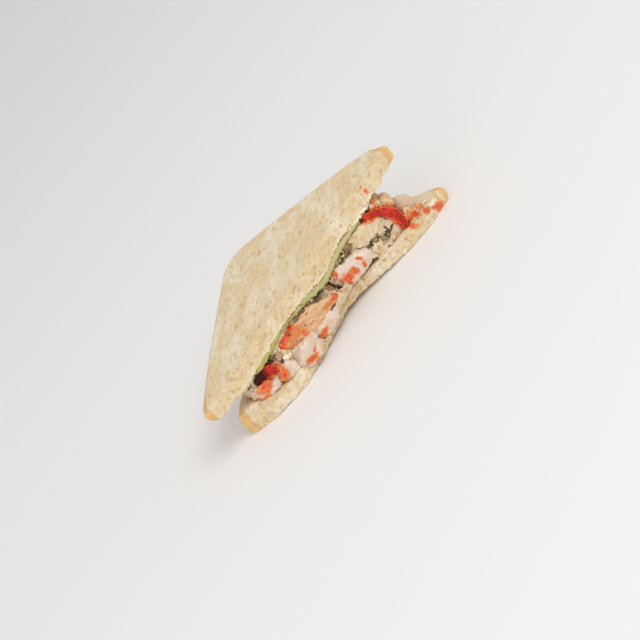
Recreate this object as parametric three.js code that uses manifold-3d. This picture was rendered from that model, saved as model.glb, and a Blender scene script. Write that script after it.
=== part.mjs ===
// A turkey sandwich on white toast bread, cut corner to corner: one half, lying flat.
// Millimetres, +Z up. +X runs along the cut, -Y is the side of the cut face, +Y goes back to the
// crusts' right-angled corner. The origin is on the flat underside of the lower slice.

import Module from 'manifold-3d';
import * as THREE from 'three';
import { mergeVertices } from 'three/addons/utils/BufferGeometryUtils.js';

// ---- driving dimensions -------------------------------------------------------------------

const CUT_Y = -28;             // the cut plane, so the origin lies under the slice's centroid
const SLICE_SIDE = 118.6;      // the whole square slice, crust to crust, before rounding
const CORNER_RADIUS = 16.5;    // rounding of the right-angled corner
const TIP_RADIUS = 22.5;       // rounding of the +X tip
const HEEL_RADIUS = 13.5;      // rounding of the -X tip of the upper slice
const LOWER_RADIUS = 25;       // rounding of both tips of the lower slice
const LOWER_SHIFT = 5;         // the lower slice has slid this far towards +X
const CRUST_EDGE = 2.6;        // rounding of a slice's faces into its crust
const CRUST_THICKNESS = 14.5;  // a slice at the back corner, where the knife didn't press it
const UPPER_CUT = 7.2;         // the upper slice along the cut, where it did
const LOWER_CUT = 7.5;         // and the lower one
const HEEL_TUCK = 5.5;         // the upper slice's underside stops this far short of its -X tip
const TIP_PRESS = 1.8;         // how much blunter than round its +X tip is

const TOP_HEIGHT = 37;         // upper face above the table at x = 0
const TOP_SLOPE = 0.096;       // the upper slice gapes open towards +X
const TOP_SAG = 0.5;           // the upper face dips this much along the cut
const EDGE_LIFT = 3.6;         // the middle of the lower slice's cut edge is off the table
const EDGE_SET_BACK = 5.5;     // and lies this far behind the cut plane
const GAP = 0.35;              // air between touching pieces

const CREAM_THICKNESS = 1.8;
const LEAF_CLEARANCE = 0.8;    // from the cream to the middle of the leaf's waves
const LEAF_LIP = 2.2;          // at the cut the leaf turns up in front of the cream
const LETTUCE_EDGE = 1.6;      // leaf where it curls down at the cut
const LETTUCE_SHEET = 1.2;     // leaf inside
const CORNER_TRIM = 0.2;       // how far along its sides each corner of a chunk is cut off
const FULLNESS = 1.9;          // a chunk grows this much all round behind its cut end
const SAUCE_ROPE = 3;          // diameter of the hanging rope of sauce
const EVENNESS = 0.08;         // details of a cut piece smaller than this are smoothed away

const wasm = await Module();
wasm.setup();

// ---- small helpers ------------------------------------------------------------------------

const clamp01 = (t) => Math.min(1, Math.max(0, t));
const ramp = (from, to, value) => {
  const t = clamp01((value - from) / (to - from));
  return t * t * (3 - 2 * t);
};
const mix = (a, b, t) => a + (b - a) * t;
const bell = (value, centre, width) => Math.exp(-(((value - centre) / width) ** 2));
const depth = (y) => y - CUT_Y;

/** A closed mesh from a stack of equal rings between two end points. */
function ringSolid(firstEnd, rings, lastEnd) {
  const count = rings[0].length;
  const points = [firstEnd, ...rings.flat(), lastEnd];
  const at = (ring, i) => 1 + ring * count + (i % count);
  const last = points.length - 1;
  const index = [];
  for (let i = 0; i < count; i += 1) {
    index.push(0, at(0, i), at(0, i + 1));
    index.push(last, at(rings.length - 1, i + 1), at(rings.length - 1, i));
  }
  for (let ring = 0; ring + 1 < rings.length; ring += 1) {
    for (let i = 0; i < count; i += 1) {
      index.push(at(ring, i), at(ring + 1, i), at(ring + 1, i + 1));
      index.push(at(ring, i), at(ring + 1, i + 1), at(ring, i + 1));
    }
  }
  const geometry = new THREE.BufferGeometry();
  geometry.setAttribute('position', new THREE.Float32BufferAttribute(points.flat(), 3));
  geometry.setIndex(index);
  return mergeVertices(geometry);
}

/** The same closed mesh as a solid that can be cut. */
function solidOf(geometry) {
  return new wasm.Manifold(new wasm.Mesh({
    numProp: 3,
    vertProperties: geometry.getAttribute('position').array,
    triVerts: new Uint32Array(geometry.index.array),
  }));
}

/** A cut solid as a mesh again. */
function meshOf(solid) {
  const { vertProperties, triVerts } = solid.getMesh();
  const geometry = new THREE.BufferGeometry();
  geometry.setAttribute('position', new THREE.BufferAttribute(vertProperties, 3));
  geometry.setIndex(new THREE.BufferAttribute(triVerts, 1));
  geometry.computeVertexNormals();
  return geometry;
}

// ---- the slices' shape ---------------------------------------------------------------------

const upperCutLine = (x) => CUT_Y + 1.5 * ramp(-70, -80, x);
const lowerCutLine = (x) => (
  CUT_Y - 3.5 * bell(x, -36, 13) + EDGE_SET_BACK * bell(x, 10, 20) - 3 * bell(x, 60, 16)
  + 9 * ramp(-52, -70, x)
);

const topOfUpper = (x, y) => TOP_HEIGHT + TOP_SLOPE * x - TOP_SAG * bell(y, CUT_Y, 12);
const upperThickness = (x, y) => {
  const uneven = 2.4 * bell(x, 8, 9) - 0.9 * bell(x, -23, 12) - 0.9 * bell(x, 28, 9);
  const tips = 0.9 * ramp(44, 54, x) + 0.5 * bell(x, -52, 8) + 1.8 * ramp(-66, -74, x);
  return mix(UPPER_CUT + uneven + tips, CRUST_THICKNESS, ramp(2, 62, depth(y)));
};
const underUpper = (x, y) => topOfUpper(x, y) - upperThickness(x, y);

// The knife has pulled the middle of the lower slice's cut edge up off the table.
const underLower = (x, y) => {
  const lift = EDGE_LIFT * bell(x, 9, 22) * bell(depth(y), 0, 15);
  return lift < 0.05 ? 0 : lift;
};
const lowerThickness = (x, y) => {
  const pressed = 2 * bell(x, 9, 20) + 1.8 * bell(x, -22, 10);
  const heel = 5 * ramp(-42, -60, x);
  return mix(LOWER_CUT - pressed + heel, CRUST_THICKNESS, ramp(4, 62, depth(y)));
};
const topOfLower = (x, y) => underLower(x, y) + lowerThickness(x, y);

const CUT_STEPS = 25;
const LEG_STEPS = 9;

/**
 * Half of a rounded square slice, seen from above: the cut, and two crust sides that meet at a
 * right angle behind it. Each point knows its outward normal and how much of it is crust.
 */
function sliceOutline(cutLine, { tipRadius, heelRadius, shift = 0 }) {
  const reach = SLICE_SIDE * Math.SQRT1_2;
  const tip = new THREE.Vector2(shift + reach, CUT_Y);
  const heel = new THREE.Vector2(shift - reach, CUT_Y);
  const corner = new THREE.Vector2(shift, CUT_Y + reach);
  const alongTip = tip.clone().sub(corner).normalize();
  const alongHeel = heel.clone().sub(corner).normalize();
  const outline = [];
  const add = (place, normal, crust) => outline.push({
    x: place.x, y: place.y, normalX: normal.x, normalY: normal.y, crust,
  });
  const arc = (centre, radius, from, to, steps) => {
    for (let i = 0; i <= steps; i += 1) {
      const angle = mix(from, to, i / steps);
      const normal = new THREE.Vector2(Math.cos(angle), Math.sin(angle));
      const place = centre.clone().addScaledVector(normal, radius);
      add(place, normal, ramp(-0.5, 4, place.y - cutLine(place.x)));
    }
  };
  const leg = (from, to, normal, steps) => {
    for (let i = 1; i < steps; i += 1) {
      const t = i / steps;
      add(from.clone().lerp(to, t).addScaledVector(normal, Math.sin(Math.PI * t)), normal, 1);
    }
  };
  const [tipNormal, heelNormal] = [alongHeel.clone().negate(), alongTip.clone().negate()];
  const rounded = (place, radius, first, second) => place.clone()
    .addScaledVector(first, radius).addScaledVector(second, radius);
  const tipCentre = rounded(tip, tipRadius, alongHeel, heelNormal);
  const heelCentre = rounded(heel, heelRadius, alongTip, tipNormal);
  const cornerCentre = rounded(corner, CORNER_RADIUS, alongTip, alongHeel);
  const tipStart = Math.asin((cutLine(tip.x) - tipCentre.y) / tipRadius);
  const heelEnd = Math.PI - Math.asin((cutLine(heel.x) - heelCentre.y) / heelRadius);

  arc(tipCentre, tipRadius, tipStart, tipNormal.angle(), 6);
  leg(
    tipCentre.clone().addScaledVector(tipNormal, tipRadius),
    cornerCentre.clone().addScaledVector(tipNormal, CORNER_RADIUS), tipNormal, LEG_STEPS,
  );
  arc(cornerCentre, CORNER_RADIUS, tipNormal.angle(), heelNormal.angle(), 8);
  leg(
    cornerCentre.clone().addScaledVector(heelNormal, CORNER_RADIUS),
    heelCentre.clone().addScaledVector(heelNormal, heelRadius), heelNormal, LEG_STEPS,
  );
  arc(heelCentre, heelRadius, heelNormal.angle(), heelEnd, 6);

  const [start, end] = [outline.at(-1).x + 1.5, outline[0].x - 1.5];
  for (let i = 0; i <= CUT_STEPS; i += 1) {
    const x = mix(start, end, i / CUT_STEPS);
    add(new THREE.Vector2(x, cutLine(x)), new THREE.Vector2(0, -1), 0);
  }
  return outline;
}

/**
 * A slab over an outline: crust sides are rounded, cut sides stay sharp. `slide` moves a point
 * of the outline along X, given its x and how high it is up the side, from 0 to 1.
 */
function slab(outline, top, bottom, centre, slide) {
  const sideSteps = [
    { height: 1, inset: 1 },
    { height: 0.86, inset: 0.28 },
    { height: 0.5, inset: 0 },
    { height: 0.14, inset: 0.28 },
    { height: 0, inset: 1 },
  ];
  const inward = (point, inset, height) => {
    const x = point.x - point.normalX * inset * CRUST_EDGE * point.crust;
    return [x + slide(x, height), point.y - point.normalY * inset * CRUST_EDGE * point.crust];
  };
  const sides = sideSteps.map(({ height, inset }) => outline.map((point) => {
    const [rimX, rimY] = inward(point, 1, height);
    const [x, y] = inward(point, inset, height);
    return [x, y, mix(bottom(rimX, rimY), top(rimX, rimY), height)];
  }));
  const face = (surface, scale, height) => outline.map((point) => {
    const [rimX, rimY] = inward(point, 1, height);
    const [x, y] = [mix(centre[0], rimX, scale), mix(centre[1], rimY, scale)];
    return [x, y, surface(x, y)];
  });
  const rings = [
    ...[0.4, 0.74, 0.93].map((scale) => face(top, scale, 1)),
    ...sides,
    ...[0.95, 0.84, 0.66, 0.36].map((scale) => face(bottom, scale, 0)),
  ];
  return ringSolid(
    [centre[0], centre[1], top(...centre)], rings, [centre[0], centre[1], bottom(...centre)],
  );
}

const MIDDLE = [0, 0];
const upperSlice = () => slab(
  sliceOutline(upperCutLine, { tipRadius: TIP_RADIUS, heelRadius: HEEL_RADIUS }),
  topOfUpper, underUpper, MIDDLE,
  (x, height) => HEEL_TUCK * (1 - height) * ramp(-64, -79, x) - TIP_PRESS * ramp(67, 75, x),
);
const lowerSlice = () => slab(
  sliceOutline(lowerCutLine, {
    tipRadius: LOWER_RADIUS, heelRadius: LOWER_RADIUS, shift: LOWER_SHIFT,
  }),
  topOfLower, underLower, MIDDLE,
  () => 0,
);

// ---- spread and leaf -------------------------------------------------------------------------

const creamTop = (x, y) => underUpper(x, y) - 2 * GAP;
const creamUnder = (x, y) => creamTop(x, y) - CREAM_THICKNESS;
const leafWave = (x, y) => 0.2 * (Math.sin(x * 0.32 + y * 0.11) + Math.sin(y * 0.27 - x * 0.08));
const leafBody = (x, y) => creamUnder(x, y) - LEAF_CLEARANCE + leafWave(x, y);
const leafTop = (x, y) => (
  leafBody(x, y) + LEAF_LIP * ramp(3, 0.8, depth(y)) * ramp(36, 22, x) * ramp(-54, -44, x)
);
const leafUnder = (x, y) => {
  const curl = bell(depth(y), 0, 5) * ramp(-50, -38, x) * ramp(54, 40, x);
  return leafBody(x, y) - mix(LETTUCE_SHEET, LETTUCE_EDGE, curl);
};

/** A closed outline through a few corners, with outward normals. */
function softOutline(corners, count) {
  const curve = new THREE.CatmullRomCurve3(
    corners.map(([x, y]) => new THREE.Vector3(x, y, 0)), true, 'centripetal',
  );
  return Array.from({ length: count }, (_, i) => {
    const place = curve.getPointAt(i / count);
    const along = curve.getTangentAt(i / count);
    return { x: place.x, y: place.y, normalX: along.y, normalY: -along.x, crust: 0 };
  });
}

/** A thin layer between two surfaces. */
function layer(corners, count, top, bottom, scales) {
  const outline = softOutline(corners, count);
  const face = (surface, scale) => outline.map((point) => {
    const [x, y] = [mix(MIDDLE[0], point.x, scale), mix(MIDDLE[1], point.y, scale)];
    return [x, y, surface(x, y)];
  });
  const rings = [
    ...scales.map((scale) => face(top, scale)),
    ...scales.toReversed().map((scale) => face(bottom, scale)),
  ];
  return ringSolid([...MIDDLE, top(...MIDDLE)], rings, [...MIDDLE, bottom(...MIDDLE)]);
}

const creamSpread = () => layer([
  [47, CUT_Y + 0.6], [55, -14], [36, 12], [10, 40], [-8, 38], [-30, 10], [-54, -16],
  [-60, CUT_Y + 3.2], [-30, CUT_Y + 3.2], [0, CUT_Y + 3.2], [18, CUT_Y + 2.8], [32, CUT_Y + 0.6],
], 40, creamTop, creamUnder, [0.34, 0.64, 0.87, 1]);

const lettuceLeaf = () => layer([
  [41, CUT_Y + 0.2], [55, -10], [47, 13], [30, 24], [10, 40], [-8, 34], [-24, 10], [-40, -12],
  [-50, CUT_Y + 0.4], [-22, CUT_Y], [0, CUT_Y], [24, CUT_Y],
], 42, leafTop, leafUnder, [0.34, 0.64, 0.86, 0.93, 1]);

// ---- turkey and sauce ------------------------------------------------------------------------

/** The same outline with its corners cut off, so that a block looks torn, not sawn. */
function trimmed(corners) {
  return corners.flatMap(([x, z], i) => {
    const [nextX, nextZ] = corners[(i + 1) % corners.length];
    return [CORNER_TRIM, 1 - CORNER_TRIM].map((t) => [mix(x, nextX, t), mix(z, nextZ, t)]);
  });
}

/**
 * A chunk that runs back from the cut. `corners` are its outline there, clockwise, as [x, z].
 * Further back it fills out, follows the room that is left between the lower slice and the
 * leaf, and ends `lean` further along +X.
 */
function chunk({ corners, front = 0, back, lean = 0 }, grow = 0) {
  const start = CUT_Y + front;
  const length = back - start;
  const outline = trimmed(corners).toReversed();
  const average = (axis) => outline.reduce((sum, point) => sum + point[axis], 0) / outline.length;
  const [centreX, centreZ] = [average(0), average(1)];
  const room = (x, y) => ({
    low: y < lowerCutLine(x) ? 0.5 : topOfLower(x, y) + GAP - grow,
    high: leafUnder(x, y) - GAP + grow,
  });
  const first = room(centreX, start + 4);
  const section = (y, scale) => outline.map(([x, z]) => {
    const swell = grow + FULLNESS * ramp(1, 5, y - start) * ramp(0, 5, back - y);
    const spread = scale + swell / Math.hypot(x - centreX, z - centreZ);
    const px = centreX + (x - centreX) * spread + lean * ramp(start, back, y);
    const pz = centreZ + (z - centreZ) * spread;
    const here = room(px, y);
    const share = clamp01((pz - first.low) / (first.high - first.low));
    const settled = mix(pz, mix(here.low, here.high, share), ramp(1, 18, y - start));
    return [px, y, Math.max(here.low, Math.min(here.high, settled))];
  });
  const middle = (y) => {
    const ring = section(y, 0.05);
    const [sumX, , sumZ] = ring.reduce((sum, point) => sum.map((part, i) => part + point[i]));
    return [sumX / ring.length, y, sumZ / ring.length];
  };
  const rings = [
    section(start - grow, 0.78),
    section(start + 0.6, 0.97),
    section(start + 4.5, 1),
    section(start + length * 0.62, 0.97),
    section(start + length * 0.88, 0.84),
    section(back + grow, 0.55),
  ];
  return ringSolid(middle(start - grow - 0.3), rings, middle(back + grow + 1));
}

const TURKEY = {
  turkey_tip_slab: {
    corners: [[58, 11], [58.3, 18], [61, 20.3], [66, 17], [67, 11.5], [63, 9]],
    front: 3,
    back: -18,
    lean: -5,
  },
  turkey_tip_crumb: {
    corners: [[46, 27], [47, 30], [51, 29], [52, 25.5], [49, 24.5]],
    front: 1.5,
    back: -12,
    lean: 4,
  },
  turkey_herb_crumb: {
    corners: [[52, 23], [53.5, 26], [57, 23.5], [57, 19.5], [54, 20]], front: 2, back: -12,
  },
  turkey_cream_block: {
    corners: [[28, 21], [30, 27], [38, 29], [47.5, 22], [43, 18.5], [33, 17.8]], back: 8, lean: 4,
  },
  turkey_grey_block: {
    corners: [[42, 16], [47, 21.5], [51.5, 17], [52, 8.5], [47.5, 6.5], [43, 8]],
    front: 0.8,
    back: 0,
    lean: -4,
  },
  turkey_small_block: {
    corners: [[33, 13.5], [36, 17.3], [40.5, 15], [38.5, 9.5], [34.5, 8.5]], front: 0.5, back: 6,
  },
  turkey_shadow_block: {
    corners: [[21, 25], [25, 28], [30.5, 27], [29, 21.5], [23, 22]],
    front: 2.5,
    back: 16,
    lean: -4,
  },
  turkey_pink_block: {
    corners: [[11, 20], [13, 24.3], [30.5, 19.5], [32, 13.5], [27, 10.5], [14, 11.3]],
    front: -0.6,
    back: 24,
    lean: 5,
  },
  turkey_dark_block: {
    corners: [[-8, 22], [-4, 27], [5, 25], [9.3, 15.5], [6.5, 13], [-1, 19]],
    front: 3.5,
    back: 34,
    lean: 3,
  },
  turkey_long_block: {
    corners: [
      [-31.5, 19.5], [-28.5, 25], [-13, 24.8], [2, 18.5], [6.8, 13.6], [-5, 12], [-24, 13.4],
    ],
    front: -0.4,
    back: 28,
    lean: -3,
  },
  turkey_pale_block: {
    corners: [[-15, 12.6], [-5, 12.6], [5.5, 13.2], [-1, 7], [-8, 4.6], [-14.5, 6.5]],
    front: -0.8,
    back: 28,
    lean: 5,
  },
  turkey_spot_block: {
    corners: [[-29, 11], [-24.5, 15.3], [-15, 13.5], [-15.5, 5.5], [-22, 1.8], [-29.5, 3]],
    front: -3.5,
    back: 18,
    lean: -3,
  },
  turkey_amber_block: {
    corners: [[-37, 19], [-34, 23.8], [-29, 22], [-30, 16.8], [-34, 16]],
    front: 1.5,
    back: 6,
    lean: -3,
  },
  turkey_white_block: {
    corners: [[-41, 9], [-38.5, 16], [-31.5, 14], [-29.8, 8], [-33, 4.5], [-39, 5.2]],
    front: -1.4,
    back: 12,
    lean: 4,
  },
  turkey_heel_block: {
    corners: [[-54.5, 11], [-54, 17], [-49, 17], [-42, 13], [-42.5, 8.3], [-50, 8]],
    front: -0.5,
    back: -4,
  },
};

const SAUCE_DOLLOP = {
  corners: [[-52, 19.5], [-49, 22], [-42, 22.5], [-37.5, 19.5], [-38, 15.5], [-43, 13.5]],
  front: 0.4,
  back: -12,
};

/** The rope of sauce that hangs over the front of the turkey near the +X tip. */
function sauceBand() {
  const ropeY = CUT_Y - 0.6;
  const route = [[39, 27.6], [44.5, 27.4], [49.5, 23.6], [54, 17.5], [55, 12.6], [53, 9.6]];
  const path = new THREE.CatmullRomCurve3(route.map(([x, z]) => new THREE.Vector3(x, ropeY, z)));
  const section = new THREE.Shape().absarc(0, 0, SAUCE_ROPE / 2, 0, 2 * Math.PI);
  const rope = new THREE.ExtrudeGeometry(section, {
    extrudePath: path, steps: 13, curveSegments: 4, bevelEnabled: false,
  });
  rope.deleteAttribute('normal');
  rope.deleteAttribute('uv');
  return mergeVertices(rope);
}

// ---- assembly ---------------------------------------------------------------------------------

const finish = (color, roughness) => new THREE.MeshStandardMaterial({ color, roughness, metalness: 0 });
const BREAD = finish(0xe2d0b0, 0.9);
const CREAM = finish(0xebe1be, 0.5);
const LETTUCE = finish(0xc2cc84, 0.45);
const MEAT = finish(0xe0c4b4, 0.55);
const RED_SAUCE = finish(0xa01014, 0.15);

const sandwich = new THREE.Group();
sandwich.name = 'turkey_sandwich_half';
const around = [];

/** Adds a piece, cut clear of those placed before it; later pieces avoid its `clearance`. */
function place(name, geometry, material, clearance) {
  const cut = around.reduce((left, other) => left.subtract(other), solidOf(geometry));
  const solid = cut.simplify(EVENNESS);
  const mesh = new THREE.Mesh(meshOf(solid), material);
  mesh.name = name;
  sandwich.add(mesh);
  around.push(clearance);
}

/** A solid together with copies of it that are moved by each shift. */
function widened(solid, shifts) {
  return shifts.reduce((all, shift) => all.add(solid.translate(shift)), solid);
}

/** A layer grown by the gap on its filling side, up or down, and out of the cut. */
const stretched = (geometry, side) => widened(solidOf(geometry), [[0, 0, side * GAP], [0, -GAP, 0]]);

/** A chunk grown by the gap all round. */
const swollen = (size) => widened(
  solidOf(chunk(size)).add(solidOf(chunk(size, GAP))),
  [[GAP, 0, 0], [-GAP, 0, 0], [0, 0, GAP], [0, 0, -GAP]],
);

for (const [name, geometry, material, side] of [
  ['bread_lower', lowerSlice(), BREAD, 1],
  ['bread_upper', upperSlice(), BREAD, -1],
  ['cream_spread', creamSpread(), CREAM, -1],
  ['lettuce_leaf', lettuceLeaf(), LETTUCE, -1],
]) {
  place(name, geometry, material, stretched(geometry, side));
}

for (const [name, size] of Object.entries(TURKEY)) {
  place(name, chunk(size), MEAT, swollen(size));
}
place('sauce_dollop', chunk(SAUCE_DOLLOP), RED_SAUCE, swollen(SAUCE_DOLLOP));
place('sauce_band', sauceBand(), RED_SAUCE, solidOf(sauceBand()));

export default sandwich;
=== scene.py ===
"""One cut half of a turkey sandwich on white toast bread, dressed for rendering.

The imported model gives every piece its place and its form. Each class here takes the pieces of one
sub-assembly, gives them a fine surface (pores, torn crumb, meat fibres, folds), paints where crust,
sauce and herbs lie, and dresses them in a procedural finish. Sizes are in millimetres, and only
the meshes themselves are in metres. A place on the cut is its x along the cut and its height z.
"""

from __future__ import annotations

import logging
import math
import random
from dataclasses import dataclass
from enum import Enum
from itertools import product
from typing import Any, Callable, Iterable, Iterator, Sequence

import bmesh
import bpy
import numpy as np
from mathutils import Matrix, Vector


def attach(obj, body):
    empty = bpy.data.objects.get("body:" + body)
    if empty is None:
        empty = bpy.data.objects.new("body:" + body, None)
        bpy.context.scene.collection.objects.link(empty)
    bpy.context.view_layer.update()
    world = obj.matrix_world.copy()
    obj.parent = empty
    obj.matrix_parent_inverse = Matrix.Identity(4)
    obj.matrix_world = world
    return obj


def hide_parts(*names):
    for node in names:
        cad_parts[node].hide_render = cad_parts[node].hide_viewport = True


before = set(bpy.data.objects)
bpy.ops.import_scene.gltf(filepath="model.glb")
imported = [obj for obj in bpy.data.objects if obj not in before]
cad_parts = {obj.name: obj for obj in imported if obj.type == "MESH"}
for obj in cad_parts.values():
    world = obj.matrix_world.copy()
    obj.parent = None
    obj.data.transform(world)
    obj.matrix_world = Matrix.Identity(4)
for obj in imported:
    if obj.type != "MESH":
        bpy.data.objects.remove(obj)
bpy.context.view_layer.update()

Array = np.ndarray
Colour = tuple[float, float, float, float]
Hit = tuple[Vector, Vector]
Material = bpy.types.Material
Rng = random.Random
Row = Sequence[float]
Size = float | Sequence[float]

LOG = logging.getLogger("sandwich")
MM = 0.001
RAY = 0.08
FAR = 9.0
CUT_Y = -28.0
CUT_LEFT = -64.0
CUT_LENGTH = 128
CUT_HEIGHT = 42
COLUMNS = np.arange(-60, 60)
SLICE_SIDE = 118.6
GRAIN = -52.0
HASH_PRIMES = (73856093, 19349663, 83492791)
HASH_ROUNDS = ((15, 2246822519), (13, 3266489917))


# ---- numbers over points ----


def shade(code: str) -> Colour:
    """Turns a display colour into the linear one that shaders use.

    Args:
        code: Six hexadecimal digits, red, green and blue.

    Returns:
        The linear colour with an alpha of 1.
    """
    parts = [int(code[i : i + 2], 16) / 255 for i in (0, 2, 4)]
    linear = [c / 12.92 if c <= 0.04045 else ((c + 0.055) / 1.055) ** 2.4 for c in parts]
    return (*linear, 1.0)


def ramp(low: float, high: float, values: Array) -> Array:
    """Rises smoothly from 0 at low to 1 at high, or falls if low is the larger."""
    t = np.clip((values - low) / (high - low), 0.0, 1.0)
    return t * t * (3.0 - 2.0 * t)


def turned(points: Array, degrees: float, axis: str = "Y") -> Array:
    """The points turned about the origin, so that a stretched noise runs another way."""
    return points @ np.array(Matrix.Rotation(math.radians(degrees), 3, axis)).T


class Noise:
    """Seeded random fields over points in millimetres.

    In every method, points has a row for each place, size is the mean length of the field's
    details or one for each axis, and salt picks another field of the same seed.
    """

    def __init__(self, seed: int) -> None:
        """Keeps the seed that every field starts from."""
        self.seed = seed

    def _random(self, cells: Array, salt: int) -> Array:
        """Scrambles whole-numbered cells.

        Args:
            cells: One cell in each row.
            salt: Picks the field.

        Returns:
            A number from 0 to 1 for each cell.
        """
        mask = np.uint64(0xFFFFFFFF)
        h = np.full(len(cells), (self.seed * 977 + salt) * 2654435761 & 0xFFFFFFFF, np.uint64)
        for column, prime in zip(cells.T, HASH_PRIMES):
            h ^= (column & 0xFFFFFFFF).astype(np.uint64) * np.uint64(prime)
        h &= mask
        for shift, factor in HASH_ROUNDS:
            h = ((h ^ (h >> np.uint64(shift))) * np.uint64(factor)) & mask
        return (h ^ (h >> np.uint64(16))).astype(np.float64) / 2**32

    def _triple(self, cells: Array, salt: int) -> Array:
        """Three numbers from 0 to 1 for each cell."""
        return np.stack([self._random(cells, salt + 101 * k) for k in range(3)], axis=1)

    def _nearest(self, points: Array, size: Size, salt: int, own: Callable) -> tuple[Array, Array]:
        """Finds the nearest of a set of scattered seeds.

        Args:
            points: The places.
            size: The mean spacing of the seeds.
            salt: Picks the field.
            own: Gives what a seed owns, from its cell and the way from it to each place.

        Returns:
            The distance in parts of the spacing, and what the nearest seed owns.
        """
        nearest, owned = np.full(len(points), FAR), np.zeros(len(points))
        scaled = points / np.asarray(size, dtype=float)
        base = np.floor(scaled).astype(np.int64)
        for offset in product((-1, 0, 1), repeat=3):
            cell = base + np.array(offset)
            away = scaled - cell - self._triple(cell, salt)
            distance = np.linalg.norm(away, axis=1)
            owned = np.where(distance < nearest, own(cell, away), owned)
            nearest = np.minimum(distance, nearest)
        return nearest, owned

    def waves(self, points: Array, size: Size, salt: int = 0) -> Array:
        """Makes smooth noise.

        Args:
            points: The places.
            size: The waves' length.
            salt: Picks the field.

        Returns:
            A number from -1 to 1 for each place.
        """
        scaled = points / np.asarray(size, dtype=float)
        base = np.floor(scaled).astype(np.int64)
        t = scaled - base
        t = t * t * (3.0 - 2.0 * t)
        total = np.zeros(len(points))
        for corner in product((0, 1), repeat=3):
            weight = np.prod(np.where(np.array(corner) == 1, t, 1.0 - t), axis=1)
            total += weight * self._random(base + np.array(corner), salt)
        return total * 2.0 - 1.0

    def layered(self, points: Array, size: Size, salt: int = 0, layers: int = 3) -> Array:
        """Makes smooth noise with finer layers added, each half as long and half as strong.

        Args:
            points: The places.
            size: The longest waves' length.
            salt: Picks the field.
            layers: How many layers there are.

        Returns:
            A number from -1 to 1 for each place.
        """
        sizes = np.asarray(size, dtype=float)
        parts = (self.waves(points, sizes / 2**i, salt + 31 * i) * 0.5**i for i in range(layers))
        return sum(parts) / (2.0 - 0.5 ** (layers - 1))

    def cells(self, points: Array, size: Size, salt: int = 0) -> tuple[Array, Array]:
        """Distance to the nearest of scattered seeds, and a number from 0 to 1 that it owns."""
        return self._nearest(points, size, salt, lambda cell, _: self._random(cell, salt + 505))

    def facets(self, points: Array, size: Size, salt: int) -> Array:
        """Makes flat facets that tilt each their own way, like torn meat.

        Args:
            points: The places.
            size: The mean width of a facet.
            salt: Picks the field.

        Returns:
            Heights of about -0.5 to 0.5.
        """

        def plane(cell: Array, away: Array) -> Array:
            """The height of each place on its cell's tilted plane."""
            tilt = self._triple(cell, salt + 7) - 0.5
            return np.sum(away * tilt, axis=1) + 0.5 * tilt[:, 0]

        return self._nearest(points, size, salt, plane)[1]


@dataclass(frozen=True)
class Stain:
    """A blotch on the cut side: its middle, length, width, tilt from +X and strength.

    It reaches as far in front of and behind y as reach says.
    """

    x: float
    z: float
    long: float
    wide: float
    tilt: float = 0.0
    strength: float = 1.0
    y: float = CUT_Y
    reach: float = 6.0

    def over(self, points: Array, astray: tuple[Array, Array]) -> Array:
        """Finds how much of the blotch covers each point.

        Args:
            points: Places in millimetres.
            astray: How far the outline strays along x and z at each point.

        Returns:
            A number from 0 to the strength for each point.
        """
        turn = math.radians(self.tilt)
        dx = points[:, 0] - self.x + astray[0]
        dz = points[:, 2] - self.z + astray[1]
        u = (dx * math.cos(turn) + dz * math.sin(turn)) / (self.long / 2)
        v = (dz * math.cos(turn) - dx * math.sin(turn)) / (self.wide / 2)
        near = ramp(self.reach, self.reach * 0.6, np.abs(points[:, 1] - self.y))
        return self.strength * ramp(1.6, 0.25, np.hypot(u, v)) * near


def cover(stains: Iterable[Row], points: Array, noise: Noise) -> Array:
    """Lays several blotches over a surface.

    Args:
        stains: A Stain's values in each row.
        points: Places in millimetres.
        noise: The random fields that make the outlines uneven.

    Returns:
        The strongest of the stains at each point, or 0.
    """
    astray = tuple(1.1 * noise.layered(points, 2.4, salt) for salt in (71, 72))
    total = np.zeros(len(points))
    for row in stains:
        total = np.maximum(total, Stain(*row).over(points, astray))
    return total


# ---- surfaces ----


def ball(subdivisions: int) -> tuple[Array, Array]:
    """Makes a ball of radius 1.

    Args:
        subdivisions: How fine it is.

    Returns:
        Its corners and its triangles.
    """
    shell = bmesh.new()
    bmesh.ops.create_icosphere(shell, subdivisions=subdivisions, radius=1.0)
    corners = np.array([tuple(vert.co) for vert in shell.verts])
    faces = np.array([[vert.index for vert in face.verts] for face in shell.faces])
    shell.free()
    return corners, faces


BALL = ball(2)


def linked(name: str, data: bpy.types.ID) -> bpy.types.Object:
    """A new object of that name around the data, set in the scene."""
    thing = bpy.data.objects.new(name, data)
    bpy.context.scene.collection.objects.link(thing)
    return thing


def triples(items: Any, key: str) -> Array:
    """Reads three numbers of each item of a mesh.

    Args:
        items: The mesh's vertices or normals.
        key: The name of the property.

    Returns:
        One row for each item.
    """
    flat = np.empty(len(items) * 3)
    items.foreach_get(key, flat)
    return flat.reshape(-1, 3)


def mesh_of(blocks: Sequence[Array], faces: list[Sequence[int]]) -> bpy.types.Mesh:
    """Makes a mesh in metres.

    Args:
        blocks: Its corners in millimetres, in one or more blocks.
        faces: Its faces.

    Returns:
        The mesh.
    """
    mesh = bpy.data.meshes.new("rough")
    mesh.from_pydata((np.concatenate(blocks) * MM).tolist(), [], faces)
    return mesh


@dataclass(frozen=True)
class Lump:
    """One lump of something soft: where it lies, its radius, and how flat it is along facing."""

    place: Sequence[float]
    radius: float
    flat: float = 1.0
    facing: Sequence[float] = (0.0, -1.0, 0.0)


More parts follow.
